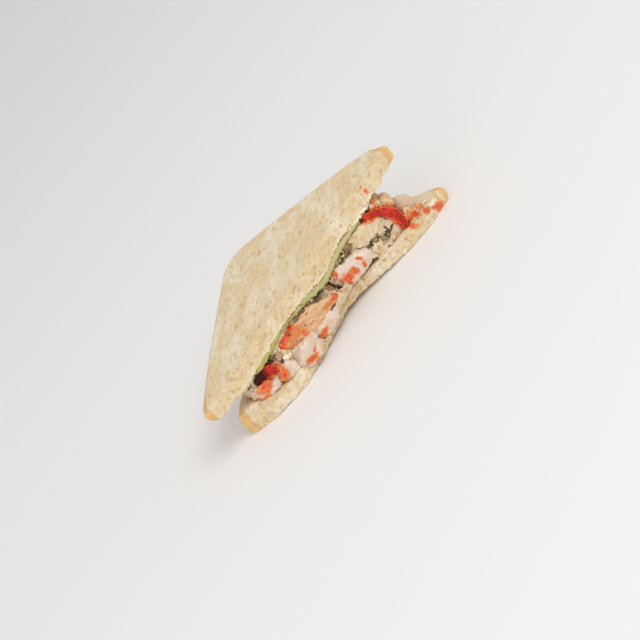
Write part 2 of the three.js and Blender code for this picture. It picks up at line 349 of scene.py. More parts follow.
class Surface:
    """A fine mesh of one piece, whose points can be pushed and painted all at once."""

    def __init__(self, name: str, mesh: bpy.types.Mesh) -> None:
        """Wraps a mesh in metres.

        Args:
            name: The piece's name.
            mesh: Its mesh, which this surface then owns.
        """
        self.name = mesh.name = name
        self.mesh = mesh
        self.piece = linked(name, mesh)
        self.points = triples(mesh.vertices, "co") / MM
        edges = np.empty(len(mesh.edges) * 2, dtype=np.int32)
        mesh.edges.foreach_get("vertices", edges)
        self.edges = edges.reshape(-1, 2)

    @classmethod
    def of_node(cls, node: str, voxel: float) -> Surface:
        """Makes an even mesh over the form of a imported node.

        Args:
            node: The node's name.
            voxel: The size of the new mesh's faces, in millimetres.

        Returns:
            The surface, ready to be pushed and painted.
        """
        shell = bmesh.new()
        shell.from_mesh(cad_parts[node].data)
        bmesh.ops.remove_doubles(shell, verts=shell.verts, dist=1e-6)
        rough = bpy.data.meshes.new("rough")
        shell.to_mesh(rough)
        shell.free()
        return cls.of_rough(f"{node}_fine", rough, voxel)

    @classmethod
    def of_lumps(cls, name: str, lumps: Iterable[Lump], voxel: float) -> Surface:
        """Runs many round lumps together into one skin.

        Args:
            name: The piece's name.
            lumps: The lumps.
            voxel: The size of the skin's faces, in millimetres.

        Returns:
            The surface, ready to be pushed and painted.
        """
        corners, faces = BALL
        points = []
        for lump in lumps:
            facing = np.array(lump.facing)
            flat = corners + (lump.flat - 1.0) * np.outer(corners @ facing, facing)
            points.append(flat * lump.radius + np.array(lump.place))
        steps = len(corners) * np.arange(len(points))[:, None, None]
        rough = mesh_of(points, (faces[None] + steps).reshape(-1, 3).tolist())
        return cls.of_rough(name, rough, voxel)

    @classmethod
    def of_rough(cls, name: str, rough: bpy.types.Mesh, voxel: float) -> Surface:
        """Makes an even mesh over a rough one, which it uses up.

        Args:
            name: The piece's name.
            rough: The rough mesh, in metres.
            voxel: The size of the new faces, in millimetres.

        Returns:
            The surface.
        """
        carrier = linked("carrier", rough)
        remesh = carrier.modifiers.new("even", "REMESH")
        remesh.mode = "VOXEL"
        remesh.voxel_size = voxel * MM
        evaluated = carrier.evaluated_get(bpy.context.evaluated_depsgraph_get())
        even = bpy.data.meshes.new_from_object(evaluated)
        bpy.data.objects.remove(carrier)
        bpy.data.meshes.remove(rough)
        return cls(name, even)

    def relax(self, rounds: int, strength: float | Array = 0.5) -> None:
        """Moves each point towards the middle of its neighbours, over and over.

        Args:
            rounds: How many times.
            strength: How far, from 0 to 1, for all points or for each.
        """
        a, b = self.edges[:, 0], self.edges[:, 1]
        count = len(self.points)
        degree = np.bincount(a, minlength=count) + np.bincount(b, minlength=count)
        for _ in range(rounds):
            sums = [np.bincount(a, p[b], count) + np.bincount(b, p[a], count) for p in self.points.T]
            shift = np.stack(sums, axis=1) / degree[:, None] - self.points
            self.points += np.reshape(strength, (-1, 1)) * shift

    def store(self) -> None:
        """Writes the points back to the mesh."""
        self.mesh.vertices.foreach_set("co", (self.points * MM).ravel())
        self.mesh.update()

    @property
    def normals(self) -> Array:
        """The outward direction at each point, as the surface now is."""
        self.store()
        return triples(self.mesh.vertex_normals, "vector")

    def push(self, amount: Array) -> None:
        """Moves each point out along its normal by so many millimetres."""
        self.points += self.normals * amount[:, None]

    def paint(self, **layers: Array) -> None:
        """Stores named layers of numbers from 0 to 1 that a finish can read."""
        for name, values in layers.items():
            attribute = self.mesh.attributes.new(name, "FLOAT", "POINT")
            attribute.data.foreach_set("value", np.clip(values, 0.0, 1.0).astype(np.float32))

    def settle(self, material: Material, slot: str, *nodes: str) -> Surface:
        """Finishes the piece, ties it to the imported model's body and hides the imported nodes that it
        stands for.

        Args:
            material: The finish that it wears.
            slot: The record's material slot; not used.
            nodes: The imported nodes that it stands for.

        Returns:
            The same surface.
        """
        self.store()
        self.mesh.materials.clear()
        self.mesh.materials.append(material)
        self.mesh.shade_smooth()
        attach(self.piece, "root")
        if nodes:
            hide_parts(*nodes)
        LOG.info("%s: %d faces", self.name, len(self.mesh.polygons))
        return self


class Heap:
    """Many small loose shells that become one piece."""

    def __init__(self) -> None:
        """Starts empty."""
        self.points: list[Array] = []
        self.faces: list[Sequence[int]] = []
        self.tones: list[Array] = []
        self.count = 0

    def add(self, points: Array, faces: Array, tone: float = 0.0) -> None:
        """Adds one shell.

        Args:
            points: Its corners in millimetres.
            faces: Its faces, all of the same number of corners.
            tone: Its own number for the finish.
        """
        self.points.append(points)
        self.faces.extend((faces + self.count).tolist())
        self.tones.append(np.full(len(points), tone))
        self.count += len(points)

    def add_bit(self, rng: Rng, hit: Hit, size: float, slim: float) -> None:
        """Adds one uneven little lump of bread or meat.

        Args:
            rng: The random source.
            hit: Where it sits and which way the surface faces there.
            size: Its half length.
            slim: How thick it is against its length.
        """
        corners, faces = BALL
        stretch = np.array([1.0, slim * rng.uniform(0.8, 1.3), slim * rng.uniform(0.7, 1.2)])
        turn = Matrix.Rotation(rng.uniform(0, math.tau), 3, "Y")
        turn = turn @ Matrix.Rotation(rng.uniform(-0.7, 0.7), 3, "Z")
        uneven = 1.0 + 0.28 * Noise(rng.randrange(1 << 20)).waves(corners, 0.8)
        grown = (corners * stretch * size * uneven[:, None]) @ np.array(turn).T
        self.add(grown + np.array(hit[0] + hit[1] * size * slim * 0.3), faces)

    def build(self, name: str, material: Material, slot: str) -> Surface:
        """Joins the shells.

        Args:
            name: The piece's name.
            material: Its finish.
            slot: The record's material slot.

        Returns:
            The piece, tied to the body.
        """
        surface = Surface(name, mesh_of(self.points, self.faces))
        surface.paint(tone=np.concatenate(self.tones))
        return surface.settle(material, slot)


# ---- shader expressions ----


def math_node(operation: str, swapped: bool = False) -> Callable:
    """Makes an operator that adds one Math node.

    Args:
        operation: What the node works out.
        swapped: Whether the other term comes first.

    Returns:
        A method of Value.
    """

    def method(value: Value, other: Value | float) -> Value:
        """Adds the node over the value and the other term."""
        terms = {0: other, 1: value} if swapped else {0: value, 1: other}
        return value.tree.node("ShaderNodeMath", {"operation": operation}, terms)

    return method


@dataclass
class Value:
    """A shader socket that takes part in sums like a number. The larger of two is most."""

    tree: Tree
    socket: bpy.types.NodeSocket | None

    __add__ = __radd__ = math_node("ADD")
    __sub__ = math_node("SUBTRACT")
    __rsub__ = math_node("SUBTRACT", swapped=True)
    __mul__ = __rmul__ = math_node("MULTIPLY")
    most = math_node("MAXIMUM")

    def between(self, low: float, high: float) -> Value:
        """Rises smoothly from 0 to 1 as the value goes from low to high."""
        inputs = {"Value": self, "From Min": low, "From Max": high}
        return self.tree.node("ShaderNodeMapRange", {"interpolation_type": "SMOOTHSTEP"}, inputs)


@dataclass(frozen=True)
class Soft:
    """How light soaks in: how much, how far each colour goes, and the scale in millimetres."""

    weight: float
    radius: tuple[float, float, float]
    scale: float


class Tree:
    """One material's nodes."""

    def __init__(self, name: str) -> None:
        """Starts an empty material of that name."""
        self.material = bpy.data.materials.new(name)
        self.material.use_nodes = True
        self.nodes = self.material.node_tree.nodes
        self.nodes.clear()
        self.place = self.node("ShaderNodeTexCoord", output="Object")

    def node(
        self,
        kind: str,
        settings: dict[str, Any] | None = None,
        inputs: dict[str | int, Any] | None = None,
        output: str | int = 0,
    ) -> Value:
        """Adds any node.

        Args:
            kind: The node's type.
            settings: Its own properties, which are set first.
            inputs: Values or links for its sockets, by name or number.
            output: Which of its outputs is wanted.

        Returns:
            That output.
        """
        node = self.nodes.new(kind)
        for key, setting in (settings or {}).items():
            setattr(node, key, setting)
        for key, given in (inputs or {}).items():
            if isinstance(given, Value):
                self.material.node_tree.links.new(given.socket, node.inputs[key])
            else:
                node.inputs[key].default_value = given
        return Value(self, node.outputs[output] if node.outputs else None)

    def layers(self, *names: str) -> list[Value]:
        """The painted layers of those names."""
        kind = "ShaderNodeAttribute"
        return [self.node(kind, {"attribute_name": name}, output="Fac") for name in names]

    def stretched(self, size: Size, turn: Row) -> dict[str, Any]:
        """Places a texture.

        Args:
            size: The length of its details in millimetres, or one for each axis.
            turn: Degrees by which it is turned about each axis.

        Returns:
            The texture's Vector and Scale sockets.
        """
        sizes = (size, size, size) if isinstance(size, (int, float)) else size
        inputs = {"Vector": self.place, "Rotation": [math.radians(a) for a in turn]}
        turning = self.node("ShaderNodeVectorRotate", {"rotation_type": "EULER_XYZ"}, inputs)
        inputs = {0: turning, 1: [1.0 / (s * MM) for s in sizes]}
        place = self.node("ShaderNodeVectorMath", {"operation": "MULTIPLY"}, inputs)
        return {"Vector": place, "Scale": 1.0}

    def noise(self, size: Size, detail: float = 2.0, rough: float = 0.5, turn: Row = (0, 0, 0)) -> Value:
        """Cloudy noise from 0 to 1, with finer layers by detail and rough."""
        inputs = {**self.stretched(size, turn), "Detail": detail, "Roughness": rough}
        return self.node("ShaderNodeTexNoise", None, inputs)

    def dots(self, size: Size, turn: Row = (0, 0, 0)) -> Value:
        """Distance to the nearest of many scattered dots, in parts of their spacing."""
        return self.node("ShaderNodeTexVoronoi", None, self.stretched(size, turn), "Distance")

    def mix(self, factor: Value | float, first: Value | Colour, second: Value | Colour) -> Value:
        """A colour between two others."""
        settings = {"data_type": "RGBA", "clamp_factor": True}
        return self.node("ShaderNodeMix", settings, {0: factor, 6: first, 7: second}, 2)

    def coats(self, base: Value | Colour, *coats: tuple[Value, Value | Colour]) -> Value:
        """Lays coats of colour over one another.

        Args:
            base: The colour underneath.
            coats: How thick each lies, from 0 to 1, and its colour.

        Returns:
            The colour on top.
        """
        for thick, colour in coats:
            base = self.mix(thick, base, colour)
        return base

    def finish(
        self, sockets: dict[str, Any], height: Value | None = None, soft: Soft | None = None
    ) -> Material:
        """Ends the material in one Principled shader.

        Args:
            sockets: Values or links for the shader's sockets.
            height: Its relief in millimetres.
            soft: How light soaks in.

        Returns:
            The finished material.
        """
        given = dict(sockets)
        if height is not None:
            bump = {"Strength": 1.0, "Distance": MM, "Height": height}
            given["Normal"] = self.node("ShaderNodeBump", None, bump)
        if soft is not None:
            given["Subsurface Weight"] = soft.weight
            given["Subsurface Radius"] = soft.radius
            given["Subsurface Scale"] = soft.scale * MM
        shader = self.node("ShaderNodeBsdfPrincipled", None, given)
        self.node("ShaderNodeOutputMaterial", None, {"Surface": shader})
        return self.material


# ---- finishes ----


@dataclass(frozen=True)
class BreadFinish:
    """White toast crumb with tan pores, and its golden crust."""

    crumb: Colour = shade("e6d1aa")
    light: Colour = shade("efe4cb")
    warm: Colour = shade("e2be88")
    pore: Colour = shade("d4a464")
    crust: Colour = shade("e9ba72")
    crust_light: Colour = shade("eccb93")
    crust_dark: Colour = shade("d29a54")
    smear: Colour = shade("ee7a3c")
    red: Colour = shade("e0401c")
    turn: Row = (0.0, 0.0, GRAIN)
    spot_kinds: Sequence[Row] = ((1.8, 0.1, 0.4, 0.42), (3.1, 0.1, 0.36, 0.6), (5.6, 0.08, 0.3, 0.6))
    soft: Soft = Soft(0.1, (1.0, 0.6, 0.35), 1.2)

    def build(self) -> Material:
        """Makes the material."""
        t = Tree("toast_bread")
        crust, pore, torn, smear = t.layers("crust", "pore", "torn", "smear")
        grain = t.noise(0.8, 4.0, 0.7)
        patches = t.noise((26, 12, 16), 4.0, 0.6, self.turn).between(0.4, 0.64)
        clouds = t.noise((5.5, 3.2, 4.0), 3.0, 0.6, self.turn)
        spots = self.spots(t)
        deep = (pore * (0.75 + grain * 0.5)).between(0.1, 0.95)
        edge = crust + (t.noise(2.0, 3.0, 0.6) - 0.5) * 0.45
        ragged = smear + (t.noise(1.2, 4.0, 0.72) - 0.5) * 2.0 * smear.between(0.0, 0.3)
        stain = ragged.between(0.2, 0.7)
        colour = t.coats(
            self.crumb,
            (patches, self.light),
            (clouds.between(0.48, 0.72) * 0.6, self.warm),
            (grain.between(0.5, 0.75) * 0.35, self.warm),
            (spots, self.pore),
            (deep * 0.74, self.pore),
            (edge.between(0.3, 0.7), self.baked(t)),
            (edge.between(0.18, 0.42) * (1 - edge.between(0.5, 0.8)) * 0.5, self.crust_dark),
            (stain * 0.9, t.mix(ragged.between(0.7, 1.2), self.smear, self.red)),
        )
        height = grain * 0.2 - spots * 0.22 + t.noise(0.35, 2.0) * 0.07
        height = height * (1 - crust * 0.7) + t.noise((2.5, 2.5, 0.9), 3.0) * crust * 0.12
        rough = 0.92 - crust * 0.3 - stain * 0.4
        sockets = {"Base Color": colour, "Roughness": rough, "Specular IOR Level": 0.25}
        return t.finish(sockets, height + torn * grain * 0.2, self.soft)

    def baked(self, t: Tree) -> Value:
        """The crust's uneven gold, in which the darker spots are small."""
        gold = t.mix(t.noise((9, 9, 4), 4.0, 0.6).between(0.35, 0.65), self.crust, self.crust_light)
        return t.mix(t.noise(1.7, 4.0, 0.65).between(0.48, 0.8) * 0.45, gold, self.crust_dark)

    def spots(self, t: Tree) -> Value:
        """Spreads fine tan pores in three sizes, drawn out along the crumb's grain.

        Args:
            t: The material's nodes.

        Returns:
            How strong a pore is at each place.
        """
        field = t.noise(7.0, 2.0).between(0.38, 0.66) * 0.75 + 0.25
        kinds = []
        for size, least, most, strength in self.spot_kinds:
            near = t.dots((size * 1.7, size, size * 1.1), self.turn)
            kinds.append((1 - near.between(least, most)) * strength * field)
        return kinds[0].most(kinds[1]).most(kinds[2])


@dataclass(frozen=True)
class CreamFinish:
    """Pale cream with a few herb flecks."""

    cream: Colour = shade("f1ead2")
    warm: Colour = shade("e4d7ae")
    fleck: Colour = shade("6d6a3c")
    soft: Soft = Soft(0.2, (1.0, 0.8, 0.5), 1.5)

    def build(self) -> Material:
        """Makes the material."""
        t = Tree("herb_cream")
        clouds = t.noise(2.5, 3.0).between(0.4, 0.7)
        flecks = (1 - t.dots(2.6).between(0.08, 0.2)) * t.noise(6.0).between(0.45, 0.6)
        colour = t.coats(self.cream, (clouds, self.warm), (flecks * 0.8, self.fleck))
        height = t.noise(0.8, 3.0, 0.6) * 0.2
        return t.finish({"Base Color": colour, "Roughness": 0.45}, height, self.soft)


@dataclass(frozen=True)
class LettuceFinish:
    """A thin pale leaf, greener towards the crusts, with olive painted shade in its folds and where it
    faces down.
    """

    pale: Colour = shade("c2ba82")
    yellow: Colour = shade("b3aa58")
    green: Colour = shade("9ab244")
    # Olive serves only as painted shade.
    olive: Colour = shade("7c7236")
    soft: Soft = Soft(0.25, (0.7, 1.0, 0.3), 1.0)

    def build(self) -> Material:
        """Makes the material."""
        t = Tree("lettuce")
        fold, deep, heel = t.layers("fold", "deep", "heel")
        streaks = t.noise((1.4, 5.0, 5.0), 3.0, 0.6)
        shaded = fold + (streaks - 0.5) * 0.5
        colour = t.coats(
            self.pale,
            (heel, self.yellow),
            (t.noise((7, 9, 5), 3.0).between(0.45, 0.7) * 0.5, self.yellow),
            (deep, self.green),
            (streaks.between(0.5, 0.75) * 0.45, self.pale),
            # Olive painted shade in the creases, on the leaf around x = -19 and where it faces down.
            (shaded.between(0.35, 0.95) * 0.7, self.olive),
        )
        height = streaks * 0.25 + t.noise(0.9, 3.0) * 0.1
        return t.finish({"Base Color": colour, "Roughness": 0.45}, height, self.soft)


@dataclass(frozen=True)
class MeatFinish:
    """Cooked turkey: a fibrous inside, a seared outside, what has run over it, and painted shade."""

    name: str
    inside: Colour
    light: Colour
    skin: Colour = shade("d9a878")
    brown: Colour = shade("b07c4c")
    shadow: Colour = shade("61412a")
    orange: Colour = shade("ec8a40")
    red: Colour = shade("e4461a")
    thick: Colour = shade("b01510")
    herb: Colour = shade("4a4424")
    soft: Soft = Soft(0.2, (1.0, 0.5, 0.35), 1.5)

    def build(self) -> Material:
        """Makes the material."""
        t = Tree(self.name)
        sear, sauce, gloom, fibre = t.layers("sear", "sauce", "gloom", "fibre")
        fine = t.noise(0.7, 4.0, 0.7)
        cloud = t.noise(4.0, 4.0, 0.62)
        fibres = fibre * 0.35 + cloud * 0.45 + fine * 0.2
        crisp = (sear + (fine - 0.5) * 0.4 + (cloud - 0.5) * 0.9).between(0.3, 0.9)
        cooked = t.mix(t.noise(1.9, 3.0, 0.65).between(0.52, 0.76) * 0.7, self.skin, self.brown)
        pulp = t.noise(1.4, 4.0, 0.74)
        ragged = sauce + (pulp - 0.5) * 2.2 * sauce.between(0.0, 0.35)
        wash = (sauce + (cloud - 0.5) * 0.8 * sauce.between(0.0, 0.2)).between(0.1, 0.7)
        wet = ragged.between(0.3, 0.7)
        flecks = (1 - t.dots(2.9).between(0.07, 0.15)) * (sear * 0.8 + 0.3).between(0.2, 0.9)
        colour = t.coats(
            self.inside,
            (fibres.between(0.36, 0.62), self.light),
            (crisp * 0.85, cooked),
            # Painted shade on the pieces that sit back and in the crevices between pieces.
            ((gloom + (fine - 0.5) * gloom) * 0.85, self.shadow),
            (wash * 0.75, self.orange),
            (wet, self.orange),
            (ragged.between(0.6, 1.1), self.red),
            (ragged.between(1.05, 1.5), self.thick),
            (flecks * 0.85, self.herb),
        )
        sockets = {"Base Color": colour, "Roughness": 0.52 - wet * 0.2, "Specular IOR Level": 0.35}
        sockets |= {"Coat Weight": wet * 0.3 + 0.12, "Coat Roughness": 0.22}
        return t.finish(sockets, fibres * 0.3 + fine * 0.12 + wet * pulp * 0.3, self.soft)


@dataclass(frozen=True)
class SauceFinish:
    """Thick red sauce: nearly black on the dollop's upper left, in patches and in painted shadow at the
    band's start, orange and pulpy where it thins out.
    """

    # Nearly black: on the dollop's upper left, in patches, and as painted shadow at the band's start.
    deep: Colour = shade("360607")
    red: Colour = shade("a8120e")
    bright: Colour = shade("ce3018")
    orange: Colour = shade("e86832")
    soft: Soft = Soft(0.1, (1.0, 0.15, 0.1), 1.0)

    def build(self) -> Material:
        """Makes the material."""
        t = Tree("red_sauce")
        depth, thin = t.layers("depth", "thin")
        lumps = t.noise(1.7, 3.0, 0.6)
        pulp = t.noise(0.8, 3.0, 0.7)
        colour = t.coats(
            self.red,
            (lumps.between(0.4, 0.58), self.bright),
            (pulp.between(0.56, 0.7) * (1 - depth) * 0.7, self.orange),
            # Darker on the dollop's upper left, in patches, and in painted shadow at the band's start.
            ((depth + (lumps - 0.5) * 1.5).between(0.2, 0.85), self.deep),
            ((thin + (pulp - 0.42) * 1.8).between(0.3, 0.8), self.orange),
        )
        sockets = {"Base Color": colour, "Roughness": 0.35, "Specular IOR Level": 0.12}
        sockets |= {"Coat Weight": 0.35 - depth * 0.25, "Coat Roughness": 0.1}
        return t.finish(sockets, lumps * 0.4 + pulp * 0.2, self.soft)


@dataclass(frozen=True)
class HerbFinish:
    """Dried and wilted herb leaves, from nearly black through olive to mustard."""

    dark: Colour = shade("463a22")
    olive: Colour = shade("76703c")
    mustard: Colour = shade("a98a3a")

    def build(self) -> Material:
        """Makes the material."""
        t = Tree("herbs")
        tone = t.layers("tone")[0] + (t.noise(0.8, 2.0) - 0.5) * 0.3
        mustard = tone.between(0.85, 1.0)
        colour = t.coats(self.dark, (tone.between(0.25, 0.8), self.olive), (mustard, self.mustard))
        return t.finish({"Base Color": colour, "Roughness": 0.6}, t.noise(0.5) * 0.1)


# ---- bread ----


@dataclass(frozen=True)
class Slice:
    """One half slice of toast: porous faces, a torn cut and a smooth crust.

    Its shift and radii place its rounded corners, swell lifts its inner face along the cut, and
    browned says how golden its left and right ends are.
    """

    node: str
    shift: float
    tip_radius: float
    heel_radius: float
    seed: int
    swell: float
    browned: tuple[float, float]
    stains: Sequence[Row]
    corner_radius: float = 16.5
    voxel: float = 0.57
    pore_depth: float = 0.45
    tear: float = 0.8
    draw_out: float = 1.3

    def crust_distance(self, points: Array) -> Array:
        """Finds how far inside the crust each place lies, seen from above.

        Args:
            points: The places.

        Returns:
            The distances, round the corners too.
        """
        across, along = points[:, 0] - self.shift, points[:, 1] - CUT_Y
        a, b = (along + across) * math.sqrt(0.5), (along - across) * math.sqrt(0.5)
        radius = np.where(b < 0.0, self.tip_radius, self.heel_radius)
        radius = np.where((a > 0.0) & (b > 0.0), self.corner_radius, radius)
        qa, qb = (np.abs(v) - SLICE_SIDE / 2 + radius for v in (a, b))
        outer = np.hypot(np.maximum(qa, 0.0), np.maximum(qb, 0.0))
        return radius - outer - np.minimum(np.maximum(qa, qb), 0.0)

    def pores(self, noise: Noise, points: Array, torn: Array) -> Array:
        """Opens pores of several sizes, drawn out where the knife has pulled the crumb.

        Args:
            noise: The slice's random fields.
            points: Its points.
            torn: How much each point belongs to the cut.

        Returns:
            How deep in a pore each point lies, from 0 to 1.
        """
        bent = points + 0.45 * np.stack([noise.waves(points, 2.0, k) for k in range(3)], axis=1)
        along = turned(bent, GRAIN, "Z")
        depths = []
        for size, least, most, salt in ((2.4, 0.14, 0.4, 11), (5.2, 0.08, 0.3, 12)):
            near, owner = noise.cells(along, (size * 1.6, size, size), salt)
            depths.append(ramp(1.0, 0.3, near / (least + (most - least) * owner**2)))
        near, owner = noise.cells(bent, (3.2, 2.4, 2.0), 13)
        depths.append(ramp(1.0, 0.3, near / (0.12 + 0.34 * owner)) * torn)
        near, owner = noise.cells(turned(bent, -70.0, "Z"), (5.6, 3.2, 3.2), 14)
        wide = ramp(1.0, 0.4, near / (0.08 + 0.36 * owner**2))
        depths.append(0.85 * (wide * ramp(24.0, 8.0, points[:, 1] - CUT_Y)))
        return np.maximum.reduce(depths)

    def build(self, material: Material) -> Surface:
        """Makes the slice.

        Args:
            material: The bread finish.

        Returns:
            The finished surface.
        """
        noise = Noise(self.seed)
        surface = Surface.of_node(self.node, self.voxel)
        surface.relax(2)
        tips = ramp(67.5, 73.0, np.abs(surface.points[:, 0] - self.shift))
        surface.relax(46, 0.5 * tips)
        surface.points[:, 0] += self.draw_out * tips * np.sign(surface.points[:, 0])
        points, normals = surface.points.copy(), surface.normals
        x, back = points[:, 0], points[:, 1] - CUT_Y
        torn = ramp(0.25, 0.7, -normals[:, 1])
        inside = self.crust_distance(points)
        side = ramp(0.3, 0.75, np.hypot(normals[:, 0], normals[:, 1]))
        side *= 1.0 - ramp(0.05, 0.4, -normals[:, 1])
        golden = np.where(x < 0.0, *self.browned)
        tips = ramp(64.0, 76.0, np.abs(x - self.shift)) * golden
        short = np.where(x < 0.0, x - x.min(), x.max() - x)
        ends = ramp(7.0, 0.5, short + 2.2 * noise.layered(points, 3.0, 27))
        sawn = torn * ramp(2.5 + 7.0 * tips, 1.0, inside)
        rim = 0.75 * ramp(3.4 + 8.0 * tips, 0.3, inside)
        crust = np.maximum.reduce([side, sawn, rim, 0.85 * ends * golden])
        crumb = 1.0 - crust
        pore = self.pores(noise, points, torn) * crumb
        ragged = noise.layered(points, 1.4, 21) * 0.9 + noise.layered(points, 3.6, 22) * 1.1
        push = -self.pore_depth * pore
        loose = np.maximum(torn, ramp(2.6, 0.0, back - 0.5) * 0.6)
        push += loose * ragged * self.tear * (0.3 + 0.7 * crumb)
        push += (1.0 - torn) * noise.layered(points, 6.0, 23) * (0.3 - 0.12 * crust)
        inner = ramp(0.0, 0.8, normals[:, 2] * math.copysign(1.0, self.swell))
        push += abs(self.swell) * ramp(9.0, 1.0, back) * inner
        for where, size, salt, much in (
            (crumb, 1.2, 24, 0.16),
            (crust, (7.0, 7.0, 3.0), 25, 0.25),
            (crust, (2.2, 2.2, 1.1), 26, 0.14),
            (ends, (3.4, 3.4, 2.4), 28, 0.9),
        ):
            push += where * noise.layered(points, size, salt) * much
        surface.push(push)
        surface.relax(1, 0.3)
        surface.points[:, 2] = np.maximum(surface.points[:, 2], 0.0)
        smear = cover(self.stains, points, noise)
        surface.paint(crust=crust, pore=pore, torn=torn, smear=smear)
        return surface.settle(material, "bread", self.node)


UPPER_STAINS = (
    (51, 35.7, 4.8, 2.8, -83, 0.9), (49.8, 39.6, 2.4, 1.6, 72, 0.7), (-56, 22.5, 5, 2, -11, 0.55),
)
LOWER_STAINS = (
    (70.8, 2.4, 6.6, 5, -29, 1.35, -30), (64, 6.6, 4, 2.2, -10, 0.85, -30.5),
    (61, 7.6, 3.6, 2.4, 0, 0.8, -25), (48, 5.6, 2.8, 1.6, -15, 0.7, -29.5),
    (55, 6.6, 5.5, 3.4, -44, 0.9, -30), (21.2, 7.8, 2.2, 1.4, 80, 0.6, -24),
)


@dataclass
class Bread:
    """Both slices."""

    lower: Slice = Slice("bread_lower", 5.0, 25.0, 25.0, 8, 0.2, (1.0, 0.1), LOWER_STAINS)
    upper: Slice = Slice("bread_upper", 0.0, 22.5, 13.5, 3, -0.6, (0.65, 1.0), UPPER_STAINS)

    def build(self) -> list[Surface]:
        """Makes and dresses both slices."""
        material = BreadFinish().build()
        return [self.lower.build(material), self.upper.build(material)]


# ---- spread and leaf ----


@dataclass
class Spread:
    """The cream under the upper slice."""

    node: str = "cream_spread"
    voxel: float = 0.7
    lumps: float = 0.45
    lift: float = 0.45

    def build(self, material: Material) -> Surface:
        """Makes and dresses the cream.

        Args:
            material: The cream's finish.

        Returns:
            The finished surface.
        """
        surface = Surface.of_node(self.node, self.voxel)
        surface.relax(2)
        points, normals = surface.points.copy(), surface.normals
        front = ramp(4.0, 0.0, points[:, 1] - CUT_Y)
        push = self.lumps * Noise(21).layered(points, (2.6, 2.6, 1.6)) * (0.3 + 0.8 * front)
        surface.push(push + self.lift * ramp(0.3, 0.9, normals[:, 2]))
        return surface.settle(material, "cream", self.node)


@dataclass
class Leaf:
    """The lettuce leaf: pleated along the cut and frilled where it shows at the crusts."""

    node: str = "lettuce_leaf"
    voxel: float = 0.6
    frill: float = 0.6
    pleat: float = 0.6
    heel_part: float = 0.5

    def thin_out(self, points: Array) -> None:
        """Draws the leaf's lower side up to its upper one along the cut, towards the heel.

        Args:
            points: The leaf's points, which are moved.
        """
        front = points[points[:, 1] < CUT_Y + 3.0]
        bins = np.round(front[:, 0]).astype(int)
        tops = [np.max(front[bins == x, 2], initial=0.0) for x in COLUMNS]
        top = np.interp(points[:, 0], COLUMNS, tops)
        much = ramp(-3.0, -18.0, points[:, 0]) * ramp(9.0, 3.0, points[:, 1] - CUT_Y)
        below = np.maximum(top - points[:, 2], 0.0) * (top > 1.0)
        points[:, 2] += below * much * (1.0 - self.heel_part)

    def build(self) -> Surface:
        """Makes and dresses the leaf."""
        noise = Noise(34)
        surface = Surface.of_node(self.node, self.voxel)
        surface.relax(2)
        self.thin_out(surface.points)
        points = surface.points.copy()
        front = ramp(5.0, 0.0, points[:, 1] - CUT_Y)
        pleats = noise.layered(points, (3.6, 9.0, 7.0), 6)
        fine = noise.layered(points, (1.3, 5.0, 2.4), 7)
        surface.points[:, 2] += self.frill * noise.layered(points, (4.0, 5.0, 9.0), 5) * 0.5
        under = ramp(0.3, -0.6, surface.normals[:, 2])
        surface.points[:, 2] -= front * under * ramp(-0.2, 0.6, fine) * 0.7
        surface.points[:, 1] -= front * (self.pleat * pleats + 0.2 * fine)
        # Painted shade in the creases of the pleats.
        fold = ramp(0.0, -0.6, pleats) * front
        # Painted shade on the leaf around x = -19.
        dark = np.exp(-(((points[:, 0] + 19.0) / 6.5) ** 2))
        # Painted shade where the leaf faces down.
        low = ramp(0.35, -0.6, surface.normals[:, 2] + 0.4 * fine) * front
        surface.paint(
            fold=np.maximum.reduce([fold, 0.75 * dark * front, 0.8 * low]),
            deep=ramp(14.0, 40.0, points[:, 1] - CUT_Y),
            heel=ramp(4.0, -26.0, points[:, 0]) * front,
        )
        return surface.settle(LettuceFinish().build(), "lettuce", self.node)


# ---- turkey ----


class Meat(Enum):
    """The kinds of turkey, as (inside, light) colours."""

    PINK = ("dabca2", "e8d6c6")
    CREAMY = ("dabd92", "e8d7b8")
    GREY = ("d2b494", "dfcab2")
    TAN = ("dba574", "e2ba90")
    # A darker, browner copy for the pieces that sit back: painted shade, partly the meat's own browner
    # tone.
    BROWN = ("b48a5e", "cbaa80")


SMEARS = (
    (41.5, 27, 7, 4.2, -20, 0.85), (47, 25, 8, 5.4, -38, 0.9), (52.5, 20, 9, 7.6, -52, 0.95),
    (53.6, 12.5, 10, 7.4, 75, 0.9), (-43.5, 18, 13, 8, -11, 0.9), (-48.5, 15.6, 7, 4.6, -25, 0.95),
)
# Blotches of painted shade in the crevices between the pieces.
PAINTED_SHADES = (
    (7.8, 22.4, 9, 6, -20, 1.3), (-12, 23.5, 15, 6, -22, 1.4), (-2.4, 22.6, 12, 5, -22, 1.3),
    (19.5, 23.8, 16, 6, -28, 1.3), (34.5, 17.4, 6.5, 5.4, 0, 1.3), (43, 13, 9, 4.4, -5, 0.9),
    (-52, 18.5, 8, 3, -20, 0.6), (-35.5, 19.5, 7, 4, -30, 1.2),
)


